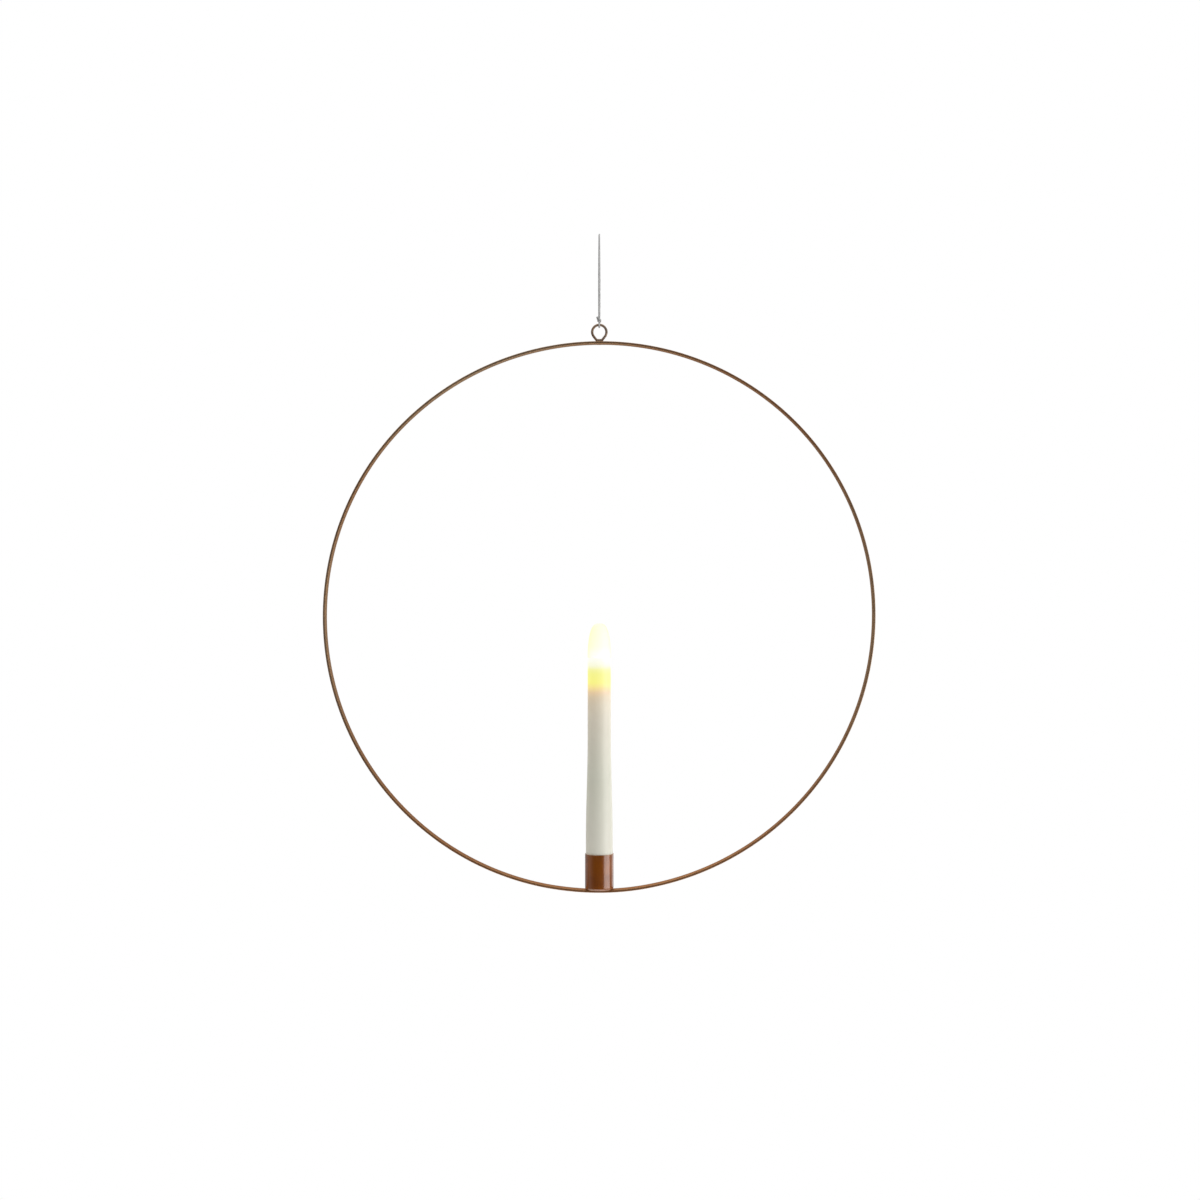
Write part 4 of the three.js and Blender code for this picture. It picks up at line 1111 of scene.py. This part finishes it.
studioValues = {
    "floorDrop": 1.65,
    "floorRadius": 2.6,
    "floorThickness": 0.01,
    "floorFade": (0.35, 0.98),  # of its radius
    "ambient": 0.36,
    "frontShade": 0.008,
    "frontReach": (-0.85, 0.1),  # along Y, where the front's shade turns into the ambient light
    "topLight": 0.7,
    "topReach": (0.25, 0.7),  # along Z, where the light from the top comes in
    "softboxes": {  # place, size and power
        "key": ((1.4, -0.6, -0.55), (1.5, 0.86), 10.2),
        "low": ((0.0, -0.3, -1.5), (1.5, 1.5), 5),
        "side": ((1.0, 1.2, -0.5), (0.9, 0.9), 2.2),
        "back": ((-0.5, 1.5, 1.1), (1.4, 1.0), 9),
    },
}


def makeFloor(values):
    # A disc whose rim fades out into the white surroundings
    radius = np.linspace(0.02, 1, 30)[:, None] * values["floorRadius"]
    angle = turns(96)[None, :]
    top = np.stack([radius * np.cos(angle), radius * np.sin(angle), 0 * radius * angle], axis=-1)
    bottom = top[::-1] - [0, 0, values["floorThickness"]]
    surface = shell(np.vstack([top, bottom]))
    surface["points"] = surface["points"] - [0, 0, values["floorDrop"]]
    mesh = bpy.data.meshes.new("studio_floor")
    mesh.from_pydata(surface["points"].tolist(), [], surface["quads"].tolist() + surface["fans"].tolist())
    material, tree, principled = newMaterial(
        "paleFloor", **{"Roughness": 0.8, "Base Color": (0.86, 0.86, 0.855, 1)})
    coords = addNode(tree, "ShaderNodeTexCoord", -800, 0)
    flat = addNode(tree, "ShaderNodeVectorMath", -600, 0, {1: (1, 1, 0)}, operation="MULTIPLY")
    away = addNode(tree, "ShaderNodeVectorMath", -400, 0, operation="LENGTH")
    tree.links.new(coords.outputs["Object"], flat.inputs[0])
    tree.links.new(flat.outputs[0], away.inputs[0])
    start, end = (share * values["floorRadius"] for share in values["floorFade"])
    fade = rampFrom(tree, away.outputs["Value"], start, end, 1, 0, -200, 0)
    tree.links.new(fade, principled.inputs["Alpha"])
    mesh.materials.append(material)
    floor = bpy.data.objects.new("studio_floor", mesh)
    bpy.context.scene.collection.objects.link(floor)


def addSoftbox(name, place, size, power, target):
    # A lamp shines along its own -Z, so that axis is turned towards the target
    light = bpy.data.lights.new(name, "AREA")
    light.shape = "RECTANGLE"
    light.size, light.size_y = size
    light.energy = power
    obj = bpy.data.objects.new(name, light)
    obj.location = place
    direction = np.array(target) - np.array(place)
    yaw = np.arctan2(direction[0], -direction[1])
    pitch = np.arctan2(np.hypot(direction[0], direction[1]), -direction[2])
    obj.rotation_euler = (pitch, 0, yaw + np.pi)
    obj.visible_camera = False
    bpy.context.scene.collection.objects.link(obj)


def makeWorld(values):
    # White where the camera looks past the object; as a light it is dim at the front,
    # brighter at the sides and back, and brightest above.
    world = bpy.data.worlds.new("studio")
    bpy.context.scene.world = world
    world.use_nodes = True
    tree = world.node_tree
    tree.nodes.clear()
    link = tree.links.new
    output = addNode(tree, "ShaderNodeOutputWorld", 900, 0)
    coords = addNode(tree, "ShaderNodeTexCoord", -900, 0)
    parts = addNode(tree, "ShaderNodeSeparateXYZ", -700, 0)
    link(coords.outputs["Generated"], parts.inputs["Vector"])
    around = rampFrom(tree, parts.outputs["Y"], *values["frontReach"],
                      values["frontShade"], values["ambient"], -450, 150, "SMOOTHSTEP")
    above = rampFrom(tree, parts.outputs["Z"], *values["topReach"],
                     0, values["topLight"], -450, -150, "SMOOTHSTEP")
    lighting = addNode(tree, "ShaderNodeBackground", 100, -100, {"Color": (1, 1, 1, 1)})
    link(calculate(tree, "ADD", around, above, -200, 0), lighting.inputs["Strength"])
    backdrop = addNode(tree, "ShaderNodeBackground", 100, 150, {"Color": (1, 1, 1, 1), "Strength": 1})
    path = addNode(tree, "ShaderNodeLightPath", 100, 400)
    mix = addNode(tree, "ShaderNodeMixShader", 500, 0)
    link(path.outputs["Is Camera Ray"], mix.inputs[0])
    link(lighting.outputs[0], mix.inputs[1])
    link(backdrop.outputs[0], mix.inputs[2])
    link(mix.outputs[0], output.inputs["Surface"])


middle = (0, 0, hoopPlace["centreZ"])
makeFloor(studioValues)
for name, (place, size, power) in studioValues["softboxes"].items():
    addSoftbox(name + "Softbox", place, size, power, middle)
makeWorld(studioValues)
bpy.context.scene.view_settings.view_transform = "Standard"
print("studio made")
